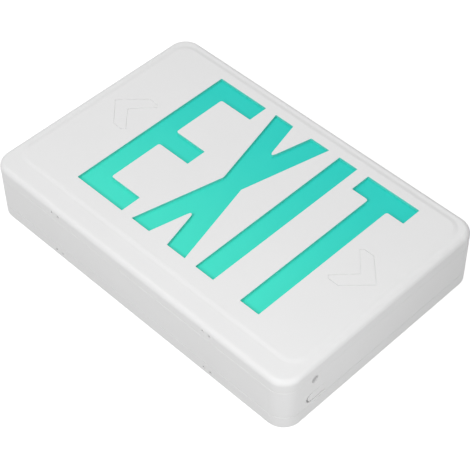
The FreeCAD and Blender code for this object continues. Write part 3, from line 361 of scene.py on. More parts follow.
for material, *named in (
        (white_case, "front_cover", "housing_frame", "test_tongue"),
        (back_case, "back_plate"),
        (green_sheet(), "green_diffuser"),
        (moulded("white_inner", (0.88, 0.88, 0.86), 0.42), "light_tray"),
        (board("light_board", MASK_WHITE, TRACK_WHITE, BOARD_FLAT, LIGHT_TRACK),
         "upper_light_bar", "lower_light_bar"),
        (lamp_row("upper_phosphor", "upper_lamps"), "upper_lamps"),
        (lamp_row("lower_phosphor", "lower_lamps"), "lower_lamps"),
        (board("control_mask", MASK_GREEN, TRACK_GREEN, BOARD_FLAT, WORKS_TRACK), "control_board"),
        (board("test_mask", MASK_GREEN, TRACK_GREEN, BOARD_ON_EDGE, WORKS_TRACK), "test_board"),
        (black_plastic, "test_switch", "board_chips"),
        (moulded("button_red", (0.55, 0.03, 0.03), 0.35), "switch_plunger"),
        (red_lens(), "indicator_lamp"),
        (laminated_steel(), "transformer_core"),
        (coil_tape(), "transformer_coil"),
        (can_film, "capacitors"),
        (moulded("relay_plastic", (0.05, 0.10, 0.28), 0.36), "relay"),
        (moulded("natural_nylon", (0.78, 0.75, 0.66), 0.4), "lead_sockets", "lead_plugs"),
        (shrink_film("battery_film", (0.03, 0.14, 0.34), (0.04, 0.18, 0.42), "X"), "battery_pack"),
        (woven("strap_weave", (0.03, 0.03, 0.03)), "battery_strap"),
        (red_lead, "upper_bar_leads", "lower_bar_leads", "battery_leads", "test_leads")):
    for name in named:
        dress(nodes[name], material)

# ---------------------------------------------------------------- ways of shaping

# Places closer than this are the same place.
TOUCH = 0.002 * MM
SMOOTH_BELOW = math.radians(40)
# Millimetres: how far a cutter stands past what it cuts, and how far what is added sinks in.
SPARE, ROOT = 1.0, 0.5
# The share of a half width that a rounding takes, so that it leaves no edge of no length.
FULL_ROUND = 0.999


def only(piece):
    """Selects one piece alone and makes it the active one."""
    bpy.ops.object.select_all(action="DESELECT")
    piece.select_set(True)
    bpy.context.view_layer.objects.active = piece


def settle(name):
    """Names the primitive just added and puts its place and size into its mesh."""
    piece = bpy.context.object
    piece.name = name
    bpy.ops.object.transform_apply(location=True, rotation=True, scale=True)
    return piece


def slab(name, across, up, out):
    """A block between two places across, two up and two out from the wall, in millimetres."""
    bpy.ops.object.select_all(action="DESELECT")
    middle = [sum(ends) / 2 * MM for ends in (across, out, up)]
    bpy.ops.mesh.primitive_cube_add(size=1.0, location=(middle[0], -middle[1], middle[2]))
    size = [(ends[1] - ends[0]) * MM for ends in (across, out, up)]
    bpy.context.object.scale = size
    return settle(name)


def round_bar(name, centre, radius, length, along, sides=32):
    """A cylinder about a centre, given across, up and out in millimetres, along x, y or z."""
    bpy.ops.object.select_all(action="DESELECT")
    turn = {"x": (0, math.pi / 2, 0), "y": (math.pi / 2, 0, 0), "z": (0, 0, 0)}[along]
    place = (centre[0] * MM, -centre[2] * MM, centre[1] * MM)
    bpy.ops.mesh.primitive_cylinder_add(
        vertices=sides, radius=radius * MM, depth=length * MM, location=place, rotation=turn)
    return settle(name)


def cone_bar(name, centre, inner, outer, length, sides=48):
    """A cone along x that widens to the right, given across, up and out in millimetres."""
    bpy.ops.object.select_all(action="DESELECT")
    place = (centre[0] * MM, -centre[2] * MM, centre[1] * MM)
    bpy.ops.mesh.primitive_cone_add(
        vertices=sides, radius1=inner * MM, radius2=outer * MM, depth=length * MM, location=place,
        rotation=(0, math.pi / 2, 0))
    return settle(name)


def open_edit(piece, kind="EDGE"):
    """Opens a piece for editing, with nothing selected."""
    only(piece)
    bpy.ops.object.mode_set(mode="EDIT")
    bpy.ops.mesh.select_mode(type=kind)
    bpy.ops.mesh.select_all(action="DESELECT")
    return bmesh.from_edit_mesh(piece.data)


def close_edit():
    """Leaves editing."""
    bpy.ops.object.mode_set(mode="OBJECT")


def pick(piece, parts, test):
    """Selects the vertices, edges or faces that pass a test."""
    for part in parts:
        part.select_set(test(part))
    bmesh.update_edit_mesh(piece.data)


def upright(edge):
    """Runs straight out from the wall."""
    way = edge.verts[0].co - edge.verts[1].co
    return abs(way.x) + abs(way.z) < TOUCH


def at_level(edge, level):
    """Lies flat at a level out from the wall, in millimetres."""
    return all(abs(vert.co.y + level * MM) < TOUCH for vert in edge.verts)


def bevel(piece, test, size, steps):
    """Rounds the edges that pass a test."""
    mesh = open_edit(piece)
    pick(piece, mesh.edges, test)
    bpy.ops.mesh.bevel(
        offset=size * MM, segments=steps, profile=0.5, affect="EDGES", clamp_overlap=False)
    close_edit()


def plate(name, corners, out):
    """A flat plate whose corners, across and up, are drawn one by one from a ring of points."""
    bpy.ops.object.select_all(action="DESELECT")
    bpy.ops.mesh.primitive_circle_add(
        vertices=len(corners), radius=0.01, fill_type="NGON", rotation=(math.pi / 2, 0, 0))
    piece = settle(name)
    mesh = open_edit(piece, "VERT")
    for index, (across, up) in enumerate(corners):
        mesh.verts.ensure_lookup_table()
        point = mesh.verts[index]
        bpy.ops.mesh.select_all(action="DESELECT")
        point.select_set(True)
        way = Vector((across * MM, -out[0] * MM, up * MM)) - point.co
        bpy.ops.transform.translate(value=way)
        mesh = bmesh.from_edit_mesh(piece.data)
    bpy.ops.mesh.select_all(action="SELECT")
    thickness = (0, (out[0] - out[1]) * MM, 0)
    bpy.ops.mesh.extrude_region_move(TRANSFORM_OT_translate={"value": thickness})
    bpy.ops.mesh.select_all(action="SELECT")
    bpy.ops.mesh.normals_make_consistent(inside=False)
    close_edit()
    return piece


def smooth(piece):
    """Shades a piece smooth, but for its sharper edges."""
    only(piece)
    bpy.ops.object.shade_smooth_by_angle(angle=SMOOTH_BELOW)


def join_pieces(piece, others):
    """Makes the others part of one piece, each still a shell of its own."""
    only(piece)
    for other in others:
        other.select_set(True)
    bpy.ops.object.join()


def join_shape(piece, others, way="DIFFERENCE"):
    """Cuts the others out of a piece, or adds them to it, and tidies the flat faces."""
    for other in others:
        cut = piece.modifiers.new("shape", "BOOLEAN")
        cut.operation = way
        cut.solver = "MANIFOLD"
        cut.object = other
        only(piece)
        bpy.ops.object.modifier_apply(modifier=cut.name)
        bpy.data.objects.remove(other)
    open_edit(piece)
    bpy.ops.mesh.select_all(action="SELECT")
    bpy.ops.mesh.remove_doubles(threshold=0.001 * MM)
    bpy.ops.mesh.dissolve_limited(angle_limit=math.radians(0.2))
    close_edit()
    return piece


def soften(piece, size):
    """Takes the sharpness off all edges of a piece and shades it smooth between flats."""
    only(piece)
    edge = piece.modifiers.new("soft_edges", "BEVEL")
    edge.width = size * MM
    edge.segments = 2
    edge.limit_method = "ANGLE"
    edge.angle_limit = math.radians(30)
    edge.use_clamp_overlap = True
    bpy.ops.object.modifier_apply(modifier=edge.name)
    smooth(piece)
    flats = piece.modifiers.new("flats", "WEIGHTED_NORMAL")
    flats.keep_sharp = True
    bpy.ops.object.modifier_apply(modifier=flats.name)


def paint(piece, test, index):
    """Gives the faces that pass a test one of the piece's own materials, by its number."""
    mesh = open_edit(piece, "FACE")
    pick(piece, mesh.faces, test)
    piece.active_material_index = index
    bpy.ops.object.material_slot_assign()
    close_edit()


def fit(piece, body, slot, *replaced):
    """Says which body a piece moves with and hides the nodes it stands for. Its slot is not used.
    """
    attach(piece, body)
    if replaced:
        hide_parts(*replaced)


# ---------------------------------------------------------------- the case

# Millimetres: across from the middle of the case, up from it, and out from the wall.
HALF_WIDTH, HALF_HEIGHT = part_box("housing_frame")[1].x / MM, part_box("housing_frame")[1].z / MM
DEPTH = -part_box("front_cover")[0].y / MM
FRONT_SEAM = -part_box("front_cover")[1].y / MM
BACK_SEAM = -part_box("back_plate")[0].y / MM
CORNER, WALL = 15.7, 2.6
LAP_WALL, LAP = 1.3, 6.0
RIM_LEVEL, RIM_INSIDE, PANEL_INSIDE = DEPTH - 0.7, 49.2, 50.7
RIM_ROUND, RIM_INNER_ROUND = 4.6, 2.4
PANEL = ((-146.9, 146.9), (-83.85, 94.35))
PANEL_GROWTH, PANEL_CORNER = 4.0, 15.0
RECESS_INSET, RECESS_CORNER = 2.3, 4.7
SLOPE_STEP = 0.85
SLOPE_RISES = (0.04, 0.125, 0.185, 0.185, 0.125, 0.04)
COVER_SOFT, BACK_SOFT = 0.25, 0.16
# The holes beside the snaps: places across, half a side, how deep they cut, and levels.
SNAP_X = (-85.8, -78.9, 77.1, 84.0)
SNAP_DOT, SNAP_REACH = 0.95, 4
FRONT_DOTS, BACK_DOTS = DEPTH - 6.3, 4.6


def case_block(name, inset, out):
    """A block with the case's rounded outline, set in all round."""
    wide, high = HALF_WIDTH - inset, HALF_HEIGHT - inset
    piece = slab(name, (-wide, wide), (-high, high), out)
    bevel(piece, upright, CORNER - inset, steps=14)
    return piece


def inner_panel(name, inset, radius, out):
    """A block with the outline of the face's panel, set in all round."""
    (left, right), (low, high) = PANEL
    piece = slab(name, (left + inset, right - inset), (low + inset, high - inset), out)
    bevel(piece, upright, radius, steps=8)
    return piece


def raised_panel():
    """The plateau of the face, with a soft slope all round it."""
    piece = inner_panel("panel", -PANEL_GROWTH, PANEL_CORNER, (RIM_LEVEL - SPARE, RIM_LEVEL))
    mesh = open_edit(piece, "FACE")
    pick(piece, mesh.faces, lambda face: face.normal.y < -0.9)
    for rise in SLOPE_RISES:
        bpy.ops.mesh.inset(thickness=SLOPE_STEP * MM)
        bpy.ops.transform.translate(value=(0, -rise * MM, 0))
    close_edit()
    return piece


def snap_dots(level):
    """Small square holes beside each snap, through the top and the bottom skirt."""
    dots = []
    for across in SNAP_X:
        for side in (-1, 1):
            up = sorted((side * (HALF_HEIGHT - SNAP_REACH), side * (HALF_HEIGHT + SPARE)))
            dots.append(slab("dot", (across - SNAP_DOT, across + SNAP_DOT), up,
                             (level - SNAP_DOT, level + SNAP_DOT)))
    return dots


STROKE = 18.5
BASE, TOP = -69.65, 85.95
E_LEFT, E_RIGHT = -95.3, -44.9
X_MIDDLE, X_HALF, X_FOOT = -5.35, 28.65, 19.0
I_LEFT = 34.2
T_LEFT, T_RIGHT = 63.6, 114.7
INNER_ROUND, OUTER_ROUND = 2.0, 0.5
# How far the outline turns at each kind of inner corner, how close to it counts, and the least
# turn at an outer corner.
INNER_TURNS, TURN_NEAR = (2.66, math.pi / 2, 0.48), 0.06
OUTER_TURN = 0.6


def letters():
    """Cutters for the four stencil openings, rounded at inner corners and barely at outer ones."""
    out = (PANEL_INSIDE - 2 * SPARE, DEPTH + SPARE)
    stem, middle, half = E_LEFT + STROKE, (BASE + TOP) / 2, STROKE / 2
    e_corners = [
        (E_LEFT, BASE), (E_RIGHT, BASE), (E_RIGHT, BASE + STROKE), (stem, BASE + STROKE),
        (stem, middle - half), (E_RIGHT, middle - half), (E_RIGHT, middle + half),
        (stem, middle + half), (stem, TOP - STROKE), (E_RIGHT, TOP - STROKE), (E_RIGHT, TOP),
        (E_LEFT, TOP)]
    t_middle, under = (T_LEFT + T_RIGHT) / 2, TOP - STROKE
    t_corners = [
        (t_middle - half, BASE), (t_middle + half, BASE), (t_middle + half, under),
        (T_RIGHT, under), (T_RIGHT, TOP), (T_LEFT, TOP), (T_LEFT, under), (t_middle - half, under)]
    left, right = X_MIDDLE - X_HALF, X_MIDDLE + X_HALF
    rising = [(left, BASE), (left + X_FOOT, BASE), (right, TOP), (right - X_FOOT, TOP)]
    falling = [(left, TOP), (right - X_FOOT, BASE), (right, BASE), (left + X_FOOT, TOP)]
    letter_x = join_shape(plate("letter_x", rising, out), [plate("falling", falling, out)], "UNION")
    made = [
        plate("letter_e", e_corners, out), letter_x,
        slab("letter_i", (I_LEFT, I_LEFT + STROKE), (BASE, TOP), out),
        plate("letter_t", t_corners, out)]
    for letter in made:
        for turn in INNER_TURNS:
            reach = INNER_ROUND * math.tan(turn / 2)
            bevel(letter, lambda edge: upright(edge) and not edge.is_convex
                  and abs(edge.calc_face_angle(0) - turn) < TURN_NEAR, reach, steps=6)
        bevel(letter, lambda edge: upright(edge) and edge.calc_face_angle(0) > OUTER_TURN,
              OUTER_ROUND, steps=2)
    return made


ARROW_MIDDLE = (BASE + TOP) / 2 + 0.65
ARROW_TIPS = ((HALF_WIDTH - 17.1, 1), (18.0 - HALF_WIDTH, -1))
ARROW_HALF, ARROW_SHOULDER, ARROW_NOTCH, ARROW_ARM = 19.8, 29.1, 15.9, (31.8, 17.0)
GROOVE_WIDTH, GROOVE_DEPTH, CORE_SPARE = 0.6, 0.5, 0.2


def arrow_grooves():
    """The outline groove of each direction arrow, its two arms at right angles."""
    half, shoulder, notch, arm = ARROW_HALF, ARROW_SHOULDER, ARROW_NOTCH, ARROW_ARM
    floor, top = DEPTH - GROOVE_DEPTH, DEPTH + SPARE
    outer = (0.0, (floor, top))
    inner = (GROOVE_WIDTH, (floor - CORE_SPARE, top + CORE_SPARE))
    grooves = []
    for tip, way in ARROW_TIPS:
        rings = []
        for inset, out in (outer, inner):
            skew = inset * math.sqrt(2.0)
            arms = [
                (-half + inset - skew, half - inset), (-shoulder - inset + skew, half - inset),
                (skew - arm[0], arm[1])]
            mirrored = [(x, -z) for x, z in reversed(arms)]
            shape = [(-skew, 0.0)] + arms + [(skew - notch, 0.0)] + mirrored
            corners = [(tip + x * way, ARROW_MIDDLE + z) for x, z in shape]
            rings.append(plate("arrow", corners, out))
        grooves.append(join_shape(rings[0], [rings[1]]))
    return grooves


STAKE_PLACES = [(across, up) for across in (-130.0, 0.0, 130.0) for up in (-75.95, 87.65)]
STAKE_RADIUS, STAKE_LENGTH = 1.5, 2.2
STAKE_HEAD, STAKE_HEAD_HEIGHT, STAKE_HEAD_ROUND = 2.6, 1.0, 0.6


def stakes():
    """The melted stakes that hold the green sheet to the cover's inside, each with its head."""
    made = []
    tip = PANEL_INSIDE - STAKE_LENGTH
    for across, up in STAKE_PLACES:
        stem_place = (across, up, PANEL_INSIDE - STAKE_LENGTH / 2)
        head_place = (across, up, tip + STAKE_HEAD_HEIGHT / 2)
        made.append(round_bar("stake", stem_place, STAKE_RADIUS, STAKE_LENGTH, "y"))
        made.append(round_bar("head", head_place, STAKE_HEAD, STAKE_HEAD_HEIGHT, "y"))
        bevel(made[-1], lambda edge: at_level(edge, tip), STAKE_HEAD_ROUND, steps=3)
    for piece in made:
        smooth(piece)
    return made


def in_a_letter(face):
    """On the wall of a letter window, and not in an arrow's groove."""
    place = face.calc_center_median() / MM
    return (abs(face.normal.y) < 0.5 and PANEL_INSIDE < -place.y < DEPTH
            and E_LEFT - 1 < place.x < T_RIGHT + 1 and BASE - 1 < place.z < TOP + 1
            and (place.x < T_RIGHT - 10 or place.z > TOP - STROKE - 1))


def front_cover():
    """The moulded front: raised panel, letter windows, arrow grooves, snap holes and stakes."""
    cover = case_block("case_front", 0.0, (FRONT_SEAM, RIM_LEVEL))
    bevel(cover, lambda edge: at_level(edge, RIM_LEVEL), RIM_ROUND, steps=8)
    join_shape(cover, [raised_panel()], "UNION")

    hollow = case_block("hollow", WALL, (FRONT_SEAM - SPARE, RIM_INSIDE))
    bevel(hollow, lambda edge: at_level(edge, RIM_INSIDE), RIM_INNER_ROUND, steps=4)
    lap = case_block("lap", LAP_WALL, (FRONT_SEAM - SPARE, FRONT_SEAM + LAP))
    behind = inner_panel("behind", RECESS_INSET, RECESS_CORNER, (RIM_INSIDE - SPARE, PANEL_INSIDE))
    join_shape(cover, [hollow, lap, behind])
    join_shape(cover, letters() + arrow_grooves() + snap_dots(FRONT_DOTS))
    soften(cover, COVER_SOFT)
    dress(cover, white_case, window_shade_green)
    # The walls of the letter windows take the dark green of painted shade.
    paint(cover, in_a_letter, 1)

    join_pieces(cover, stakes())
    fit(cover, "front", "white_case", "front_cover")


# ---------------------------------------------------------------- the back plate

BACK_ROUND = 0.4
BACK_FLOOR, COLLAR_TOP, DRILL = 2.4, 5.4, 8.0
RIB_UP, RIB_HALF = 77, 0.8
ENTRY_RADIUS, ENTRY_RIM, ENTRY_SIDES = 11.1, 2.4, 64
BOX_SLOT = (12.0, 4.8)
ROUND_BOX_HALF, SINGLE_BOX_HALF = 44.45, 41.65
KEY_ACROSS, KEY_UP, KEY_MIDDLE, KEY_RADIUS = 101.6, 51.5, 2.0, 4.6
KEY_SLOT_UP, KEY_SLOT = 55.75, (13.1, 4.6)


def obround(name, across, up, size, out, tall):
    """A slot cutter with half-round ends, of a length and a width."""
    length, width = size
    wide, high = (width, length) if tall else (length, width)
    piece = slab(name, (across - wide / 2, across + wide / 2), (up - high / 2, up + high / 2), out)
    bevel(piece, upright, width / 2 * FULL_ROUND, steps=8)
    return piece


def back_plate():
    """The back cover: ribs, wire entry in its collar, box slots, keyholes and snap holes."""
    cover = case_block("case_back", 0.0, (0.0, BACK_SEAM))
    bevel(cover, lambda edge: at_level(edge, 0.0), BACK_ROUND, steps=2)
    hollow = case_block("hollow", WALL, (BACK_FLOOR, BACK_SEAM + SPARE))
    lap = case_block("lap", LAP_WALL, (BACK_SEAM - LAP, BACK_SEAM + SPARE))
    join_shape(cover, [hollow, lap])
    inner = HALF_WIDTH - WALL + ROOT
    rib_out = (BACK_FLOOR - ROOT, COLLAR_TOP)
    ribs = [slab("rib", (-inner, inner), (up - RIB_HALF, up + RIB_HALF), rib_out)
            for up in (-RIB_UP, RIB_UP)]
    ribs.append(round_bar("collar", (0, 0, COLLAR_TOP / 2 + ROOT), ENTRY_RADIUS + ENTRY_RIM,
                          COLLAR_TOP - 2 * ROOT, "y", ENTRY_SIDES))
    join_shape(cover, ribs, "UNION")
    through = (-SPARE, COLLAR_TOP + SPARE)
    holes = [round_bar("entry", (0, 0, COLLAR_TOP / 2), ENTRY_RADIUS, DRILL, "y", ENTRY_SIDES)]
    for side in (-1, 1):
        holes.append(obround(
            "round_box_slot", ROUND_BOX_HALF * side, 0.0, BOX_SLOT, through, False))
        holes.append(obround(
            "single_box_slot", 0.0, SINGLE_BOX_HALF * side, BOX_SLOT, through, True))
        key_place = (KEY_ACROSS * side, KEY_UP, KEY_MIDDLE)
        key = round_bar("key_hole", key_place, KEY_RADIUS, DRILL, "y")
        slot = obround("key_slot", KEY_ACROSS * side, KEY_SLOT_UP, KEY_SLOT, through, True)
        holes.append(join_shape(key, [slot], "UNION"))
    join_shape(cover, holes + snap_dots(BACK_DOTS))
    soften(cover, BACK_SOFT)
    dress(cover, back_case)
    fit(cover, "back", "back_case", "back_plate")


# ---------------------------------------------------------------- small pieces

TONGUE_THICK, TONGUE_ROUND = 2.2, 0.35
NUB_DEPTH, NUB_UP, NUB_RADIUS, NUB_LENGTH, NUB_ROUND = 3.2, -77.05, 1.3, 4.0, 0.45
SLEEVE_RADIUS, SLEEVE_LENGTH, SLEEVE_BORE = 3.5, 6.0, 2.95
SINK_RADIUS, SINK_DEPTH, SINK_MIDDLE = 3.6, 0.8, 0.2
HEAD_RADIUS, HEAD_HEIGHT, HEAD_ROUND = 2.7, 1.9, 0.9
CROSS_REACH, CROSS_HALF, CROSS_FLOOR = 1.5, 0.3, 0.8
BOARD_SCREW_X, SCREW_OUT = (-18.4, 86.4), (12.0, 40.8)
TRAY_SCREW_X, TRAY_TOP = -28.4, -76.05
CRIMP_LEVEL, CRIMP_HALF, CRIMP_SQUEEZE = 1.7, 0.5, 0.92
CAN_RIM, CAN_DISH, CAN_ROUND = 0.7, 0.25, 0.3
SCORE_REACH, SCORE_HALF, SCORE_DEPTH = 0.6, 0.12, 0.45
# Each can's name, place across, place out, radius and height.
CANS = (("cans", 27.74, 19.0, 5.0, 13.0), ("can", 27.74, 33.8, 5.0, 10.4),
        ("can", 15.34, 19.0, 4.0, 10.4))
# Millimetres: how close an end lies to a face to be on it.
NEAR = 0.01


def all_ends(edge, test):
    """True where both ends of an edge pass a test on their place in millimetres."""
    return all(test(vert.co / MM) for vert in edge.verts)


def test_tongue():
    """The pressed tongue, its free edges rounded and its root plain where it joins the ring."""
    low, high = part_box("test_tongue")
    low, high = low / MM, high / MM
    middle, half = -(low.y + high.y) / 2, (high.y - low.y) / 2
    blade = slab("tongue", (HALF_WIDTH - TONGUE_THICK, HALF_WIDTH), (low.z, high.z),
                 (middle - half, middle + half))
    bevel(blade, lambda edge: all_ends(edge, lambda at: abs(at.z - low.z) < NEAR)
          and abs((edge.verts[0].co - edge.verts[1].co).x) > TONGUE_THICK / 2 * MM,
          half * FULL_ROUND, steps=10)
    nub_place = (HALF_WIDTH - NUB_DEPTH, NUB_UP, middle)
    nub = round_bar("nub", nub_place, NUB_RADIUS, NUB_LENGTH, "x", sides=24)
    bevel(nub, lambda edge: all_ends(edge, lambda at: at.x < low.x + NEAR), NUB_ROUND, steps=3)
    join_shape(blade, [nub], "UNION")
    bevel(blade, lambda edge: all_ends(edge, lambda at: at.x > HALF_WIDTH - NEAR)
          and not all_ends(edge, lambda at: at.z > high.z - NEAR), TONGUE_ROUND, steps=3)
    smooth(blade)
    dress(blade, white_case)
    fit(blade, "tongue", "white_case", "test_tongue")


def indicator_collar():
    """The countersunk sleeve in the indicator hole, just in front of the lamp."""
    low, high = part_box("indicator_lamp")
    centre = (low + high) / 2 / MM
    out, up = -centre.y, centre.z
    place = (HALF_WIDTH - SLEEVE_LENGTH / 2, up, out)
    collar = round_bar("indicator_collar", place, SLEEVE_RADIUS, SLEEVE_LENGTH, "x", sides=48)
    bore = round_bar("bore", place, SLEEVE_BORE, SLEEVE_LENGTH + SPARE, "x", sides=48)
    mouth = (HALF_WIDTH - SINK_MIDDLE, up, out)
    sink = cone_bar("countersink", mouth, SLEEVE_BORE, SINK_RADIUS, SINK_DEPTH)
    join_shape(collar, [bore, sink])
    smooth(collar)
    dress(collar, white_case)
    fit(collar, "housing", "white_case")


def crossed(name, across, out, reach, half, up):
    """A cutter of two thin blocks that cross, for a screw's recess or a can's score."""
    bars = [slab(name, (across - a, across + a), up, (out - b, out + b))
            for a, b in ((reach, half), (half, reach))]
    return join_shape(bars[0], [bars[1]], "UNION")


def screw(name, across, under, out):
    """A pan-head screw with a cross recess, its head standing on a height."""
    top = under + HEAD_HEIGHT
    head = round_bar(name, (across, under + HEAD_HEIGHT / 2, out), HEAD_RADIUS, HEAD_HEIGHT, "z")
    bevel(head, lambda edge: all_ends(edge, lambda at: at.z > top - NEAR), HEAD_ROUND, steps=5)
    recess = (under + CROSS_FLOOR, top + SPARE)
    join_shape(head, [crossed("cut", across, out, CROSS_REACH, CROSS_HALF, recess)])
    smooth(head)
    dress(head, steel_plated)
    fit(head, "housing", "core_steel")


def screws():
    """The screws that hold the control board and the tray to their bosses."""
    board_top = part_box("control_board")[1].z / MM
    for row, out in enumerate(SCREW_OUT):
        for side, across in enumerate(BOARD_SCREW_X):
            screw(f"board_screw_{row}_{side}", across, board_top, out)
        screw(f"tray_screw_{row}", TRAY_SCREW_X, TRAY_TOP, out)


def capacitor(name, across, out, radius, height):
    """A can in its film, with a rolled crimp above its foot and a scored top."""
    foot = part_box("control_board")[1].z / MM
    top = foot + height
    can = round_bar(name, (across, foot + height / 2, out), radius, height, "z", sides=40)
    mesh = open_edit(can, "FACE")
    pick(can, mesh.faces, lambda face: face.normal.z > 0.9)
    bpy.ops.mesh.inset(thickness=CAN_RIM * MM)
    bpy.ops.transform.translate(value=(0, 0, -CAN_DISH * MM))
    close_edit()
    bevel(can, lambda edge: all_ends(edge, lambda at: abs(at.z - top) < NEAR), CAN_ROUND, steps=3)
    crimp = foot + CRIMP_LEVEL
    for level in (crimp - CRIMP_HALF, crimp, crimp + CRIMP_HALF):
        open_edit(can)
        bpy.ops.mesh.select_all(action="SELECT")
        bpy.ops.mesh.bisect(plane_co=(0, 0, level * MM), plane_no=(0, 0, 1))
        close_edit()
    mesh = open_edit(can, "VERT")
    pick(can, mesh.verts, lambda vert: abs(vert.co.z / MM - crimp) < NEAR)
    bpy.ops.transform.resize(
        value=(CRIMP_SQUEEZE, CRIMP_SQUEEZE, 1.0), center_override=(across * MM, -out * MM, 0.0))
    close_edit()
    score = (top - SCORE_DEPTH, top + SPARE)
    join_shape(can, [crossed("score", across, out, radius * SCORE_REACH, SCORE_HALF, score)])
    dress(can, can_film, aluminium, can_band)

    def on_top(face):
        place = face.calc_center_median() / MM
        return (place.z > top - 0.6 and face.normal.z > 0.3
                and math.hypot(place.x - across, place.y + out) < radius - 0.6)

    paint(can, on_top, 1)
    paint(can, lambda face: face.normal.y < -0.85 and face.normal.z < 0.3, 2)
    smooth(can)
    return can


def capacitors():
    """The control board's three cans, as one piece."""
    cans = [capacitor(*values) for values in CANS]
    join_pieces(cans[0], cans[1:])
    fit(cans[0], "housing", "can_sleeve", "capacitors")


LEAD_RADIUS, LEAD_APART = 0.7, 0.9
# Millimetres: how far from a route's corners its other points lie.
BAR_RUN, TOP_TURN, FOOT_TURN, LOW_TURN = 12.4, 21.8, 20.0, 9.6
PLUG_RUN, CELL_RUN, CELL_RISE = 12.0, 8.0, 16.0


def lead_pair(name, node, route):
    """Two insulated leads side by side along a route, given across and up in millimetres."""
    low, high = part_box(node)
    middle = (low.y + high.y) / 2
    data = bpy.data.curves.new(name, "CURVE")
    data.dimensions = "3D"
    data.bevel_depth = LEAD_RADIUS * MM
    data.bevel_resolution = 4
    data.use_fill_caps = True
    for number, side in enumerate((LEAD_APART, -LEAD_APART)):
        spline = data.splines.new("NURBS")
        spline.points.add(len(route) - 1)
        for point, (x, z) in zip(spline.points, route):
            point.co = (x * MM, middle + side * MM, z * MM, 1.0)
        spline.order_u = 3
        spline.use_endpoint_u = True
        spline.material_index = number
    leads = bpy.data.objects.new(name, data)
    bpy.context.scene.collection.objects.link(leads)
    dress(leads, red_lead, black_lead)
    only(leads)
    bpy.ops.object.convert(target="MESH")
    leads = bpy.context.object
    smooth(leads)
    fit(leads, "housing", "lead_sleeve", node)


def lead_pairs():
    """The leads inside the case, down the left wall and along the shelf into the plugs."""
    boxes = {}
    for node in ("upper_bar_leads", "lower_bar_leads", "battery_leads", "test_leads"):
        low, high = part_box(node)
        boxes[node] = [low.x / MM, low.z / MM, high.x / MM, high.z / MM]
    shelf = boxes["test_leads"][3] - LEAD_RADIUS
    left, bottom, right, top = boxes["upper_bar_leads"]
    left, right, top = left + LEAD_RADIUS, right - LEAD_RADIUS, top - LEAD_RADIUS
    into_plug = [(right - PLUG_RUN, shelf), (right, shelf), (right, bottom)]
    lead_pair("upper_leads", "upper_bar_leads", [
        (left + BAR_RUN, top), (left, top), (left, top - TOP_TURN), (left, shelf + FOOT_TURN),
        (left, shelf), (left + FOOT_TURN, shelf)] + into_plug)
    left, _, _, top = boxes["lower_bar_leads"]
    left += LEAD_RADIUS
    lead_pair("lower_leads", "lower_bar_leads", [
        (left, top), (left, shelf), (left + LOW_TURN, shelf)] + into_plug)
    left, low_end, _, _ = boxes["battery_leads"]
    low_end += LEAD_RADIUS
    lead_pair("cell_leads", "battery_leads", [
        (left, low_end), (left + CELL_RUN, low_end), (left + CELL_RISE, shelf), (right, shelf),
        (right, bottom)])
    left, _, far, _ = boxes["test_leads"]
    left += LEAD_RADIUS
    lead_pair("switch_leads", "test_leads", [
        (left, bottom), (left, shelf), (left + PLUG_RUN, shelf), (far, shelf)])


front_cover()
back_plate()
test_tongue()
indicator_collar()
screws()
capacitors()
lead_pairs()

# ---------------------------------------------------------------- the room

AMBIENT = 0.334
WALL_GREY, WALL_ROUGHNESS, WALL_GLOW = (0.5, 0.5, 0.5), 0.9, 0.75
WALL_SIZE, WALL_BEHIND = 6.0, 0.0008
CAMERA_PLACE = (0.56143, -0.87598, -0.54635)
CAMERA_TURN = (131.3876, -44.8827, 0.8122)
CAMERA_LENS, CAMERA_SENSOR = 114.848, 36.0
# Each lamp's name, its place in metres, the size of its disc in metres and its power in watts.
LAMPS = (
    ("front_lamp", (0.35, -1.35, -0.30), 0.9, 2.0),
    ("high_lamp", (-0.55, -1.10, 0.65), 0.9, 3.64),
    ("low_lamp", (0.05, -0.80, -0.95), 0.7, 7.1),
    ("side_lamp", (0.45, -0.10, -0.10), 0.3, 0.384),
    ("back_lamp", (-0.5, 1.2, 0.7), 0.9, 8.0))


def seen_by_looking(tree):
    """One where a camera, a glossy or a transmitted ray looks, and nothing elsewhere."""
    path = tree.nodes.new("ShaderNodeLightPath")
    total = path.outputs["Is Camera Ray"]
    for kind in ("Is Glossy Ray", "Is Transmission Ray"):
        both = tree.nodes.new("ShaderNodeMath")
        both.operation = "MAXIMUM"
        tree.links.new(total, both.inputs[0])
        tree.links.new(path.outputs[kind], both.inputs[1])
        total = both.outputs[0]
    return total


def make_world():
    """White wherever it is looked at, and a dimmer even light on everything."""
    world = bpy.data.worlds.new("white_room")
    bpy.context.scene.world = world
    world.use_nodes = True
    tree = world.node_tree
    shade = tree.nodes["Background"]
    shade.inputs["Color"].default_value = (1, 1, 1, 1)
    strength = tree.nodes.new("ShaderNodeMapRange")
    strength.inputs["To Min"].default_value = AMBIENT
    strength.inputs["To Max"].default_value = 1.0
    tree.links.new(seen_by_looking(tree), strength.inputs["Value"])
    tree.links.new(strength.outputs["Result"], shade.inputs["Strength"])


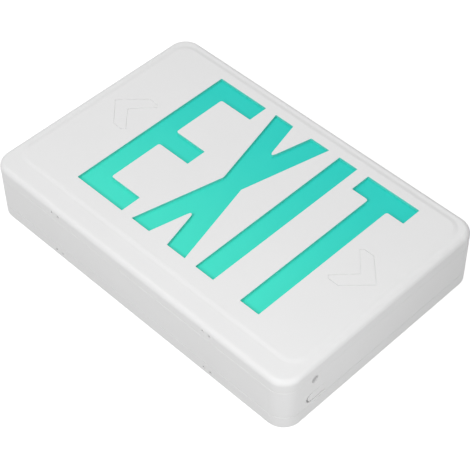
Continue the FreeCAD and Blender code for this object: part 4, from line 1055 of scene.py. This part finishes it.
def make_wall():
    """The pale wall behind the light. It is seen from its face only, and it holds back no light."""
    bpy.ops.mesh.primitive_plane_add(
        size=WALL_SIZE, location=(0, WALL_BEHIND, 0), rotation=(math.pi / 2, 0, 0))
    wall = bpy.context.object
    wall.name = "wall"
    bpy.ops.object.transform_apply(rotation=True, location=True)
    material = bpy.data.materials.new("pale_wall")
    material.use_nodes = True
    tree = material.node_tree
    shader = tree.nodes["Principled BSDF"]
    shader.inputs["Base Color"].default_value = (*WALL_GREY, 1)
    shader.inputs["Roughness"].default_value = WALL_ROUGHNESS
    glow = tree.nodes.new("ShaderNodeEmission")
    glow.inputs["Strength"].default_value = WALL_GLOW
    both = tree.nodes.new("ShaderNodeAddShader")
    tree.links.new(shader.outputs[0], both.inputs[0])
    tree.links.new(glow.outputs[0], both.inputs[1])
    side = tree.nodes.new("ShaderNodeNewGeometry")
    shown = tree.nodes.new("ShaderNodeMath")
    shown.operation = "SUBTRACT"
    tree.links.new(seen_by_looking(tree), shown.inputs[0])
    tree.links.new(side.outputs["Backfacing"], shown.inputs[1])
    clear = tree.nodes.new("ShaderNodeBsdfTransparent")
    blend = tree.nodes.new("ShaderNodeMixShader")
    tree.links.new(shown.outputs[0], blend.inputs[0])
    tree.links.new(clear.outputs[0], blend.inputs[1])
    tree.links.new(both.outputs[0], blend.inputs[2])
    tree.links.new(blend.outputs[0], tree.nodes["Material Output"].inputs["Surface"])
    wall.data.materials.append(material)


def make_lamp(name, place, size, power):
    """A round soft lamp, turned to the middle of the case's back."""
    data = bpy.data.lights.new(name, "AREA")
    data.shape = "DISK"
    data.size = size
    data.energy = power
    lamp = bpy.data.objects.new(name, data)
    lamp.location = place
    lamp.rotation_euler = (-Vector(place)).to_track_quat("-Z", "Y").to_euler()
    bpy.context.scene.collection.objects.link(lamp)


def make_camera():
    """A long lens, from low down at the right."""
    data = bpy.data.cameras.new("camera")
    data.sensor_width = CAMERA_SENSOR
    data.lens = CAMERA_LENS
    camera = bpy.data.objects.new("camera", data)
    camera.location = CAMERA_PLACE
    camera.rotation_euler = [math.radians(turn) for turn in CAMERA_TURN]
    bpy.context.scene.collection.objects.link(camera)
    bpy.context.scene.camera = camera


make_camera()
make_world()
make_wall()
for lamp in LAMPS:
    make_lamp(*lamp)
bpy.context.scene.view_settings.view_transform = "Standard"
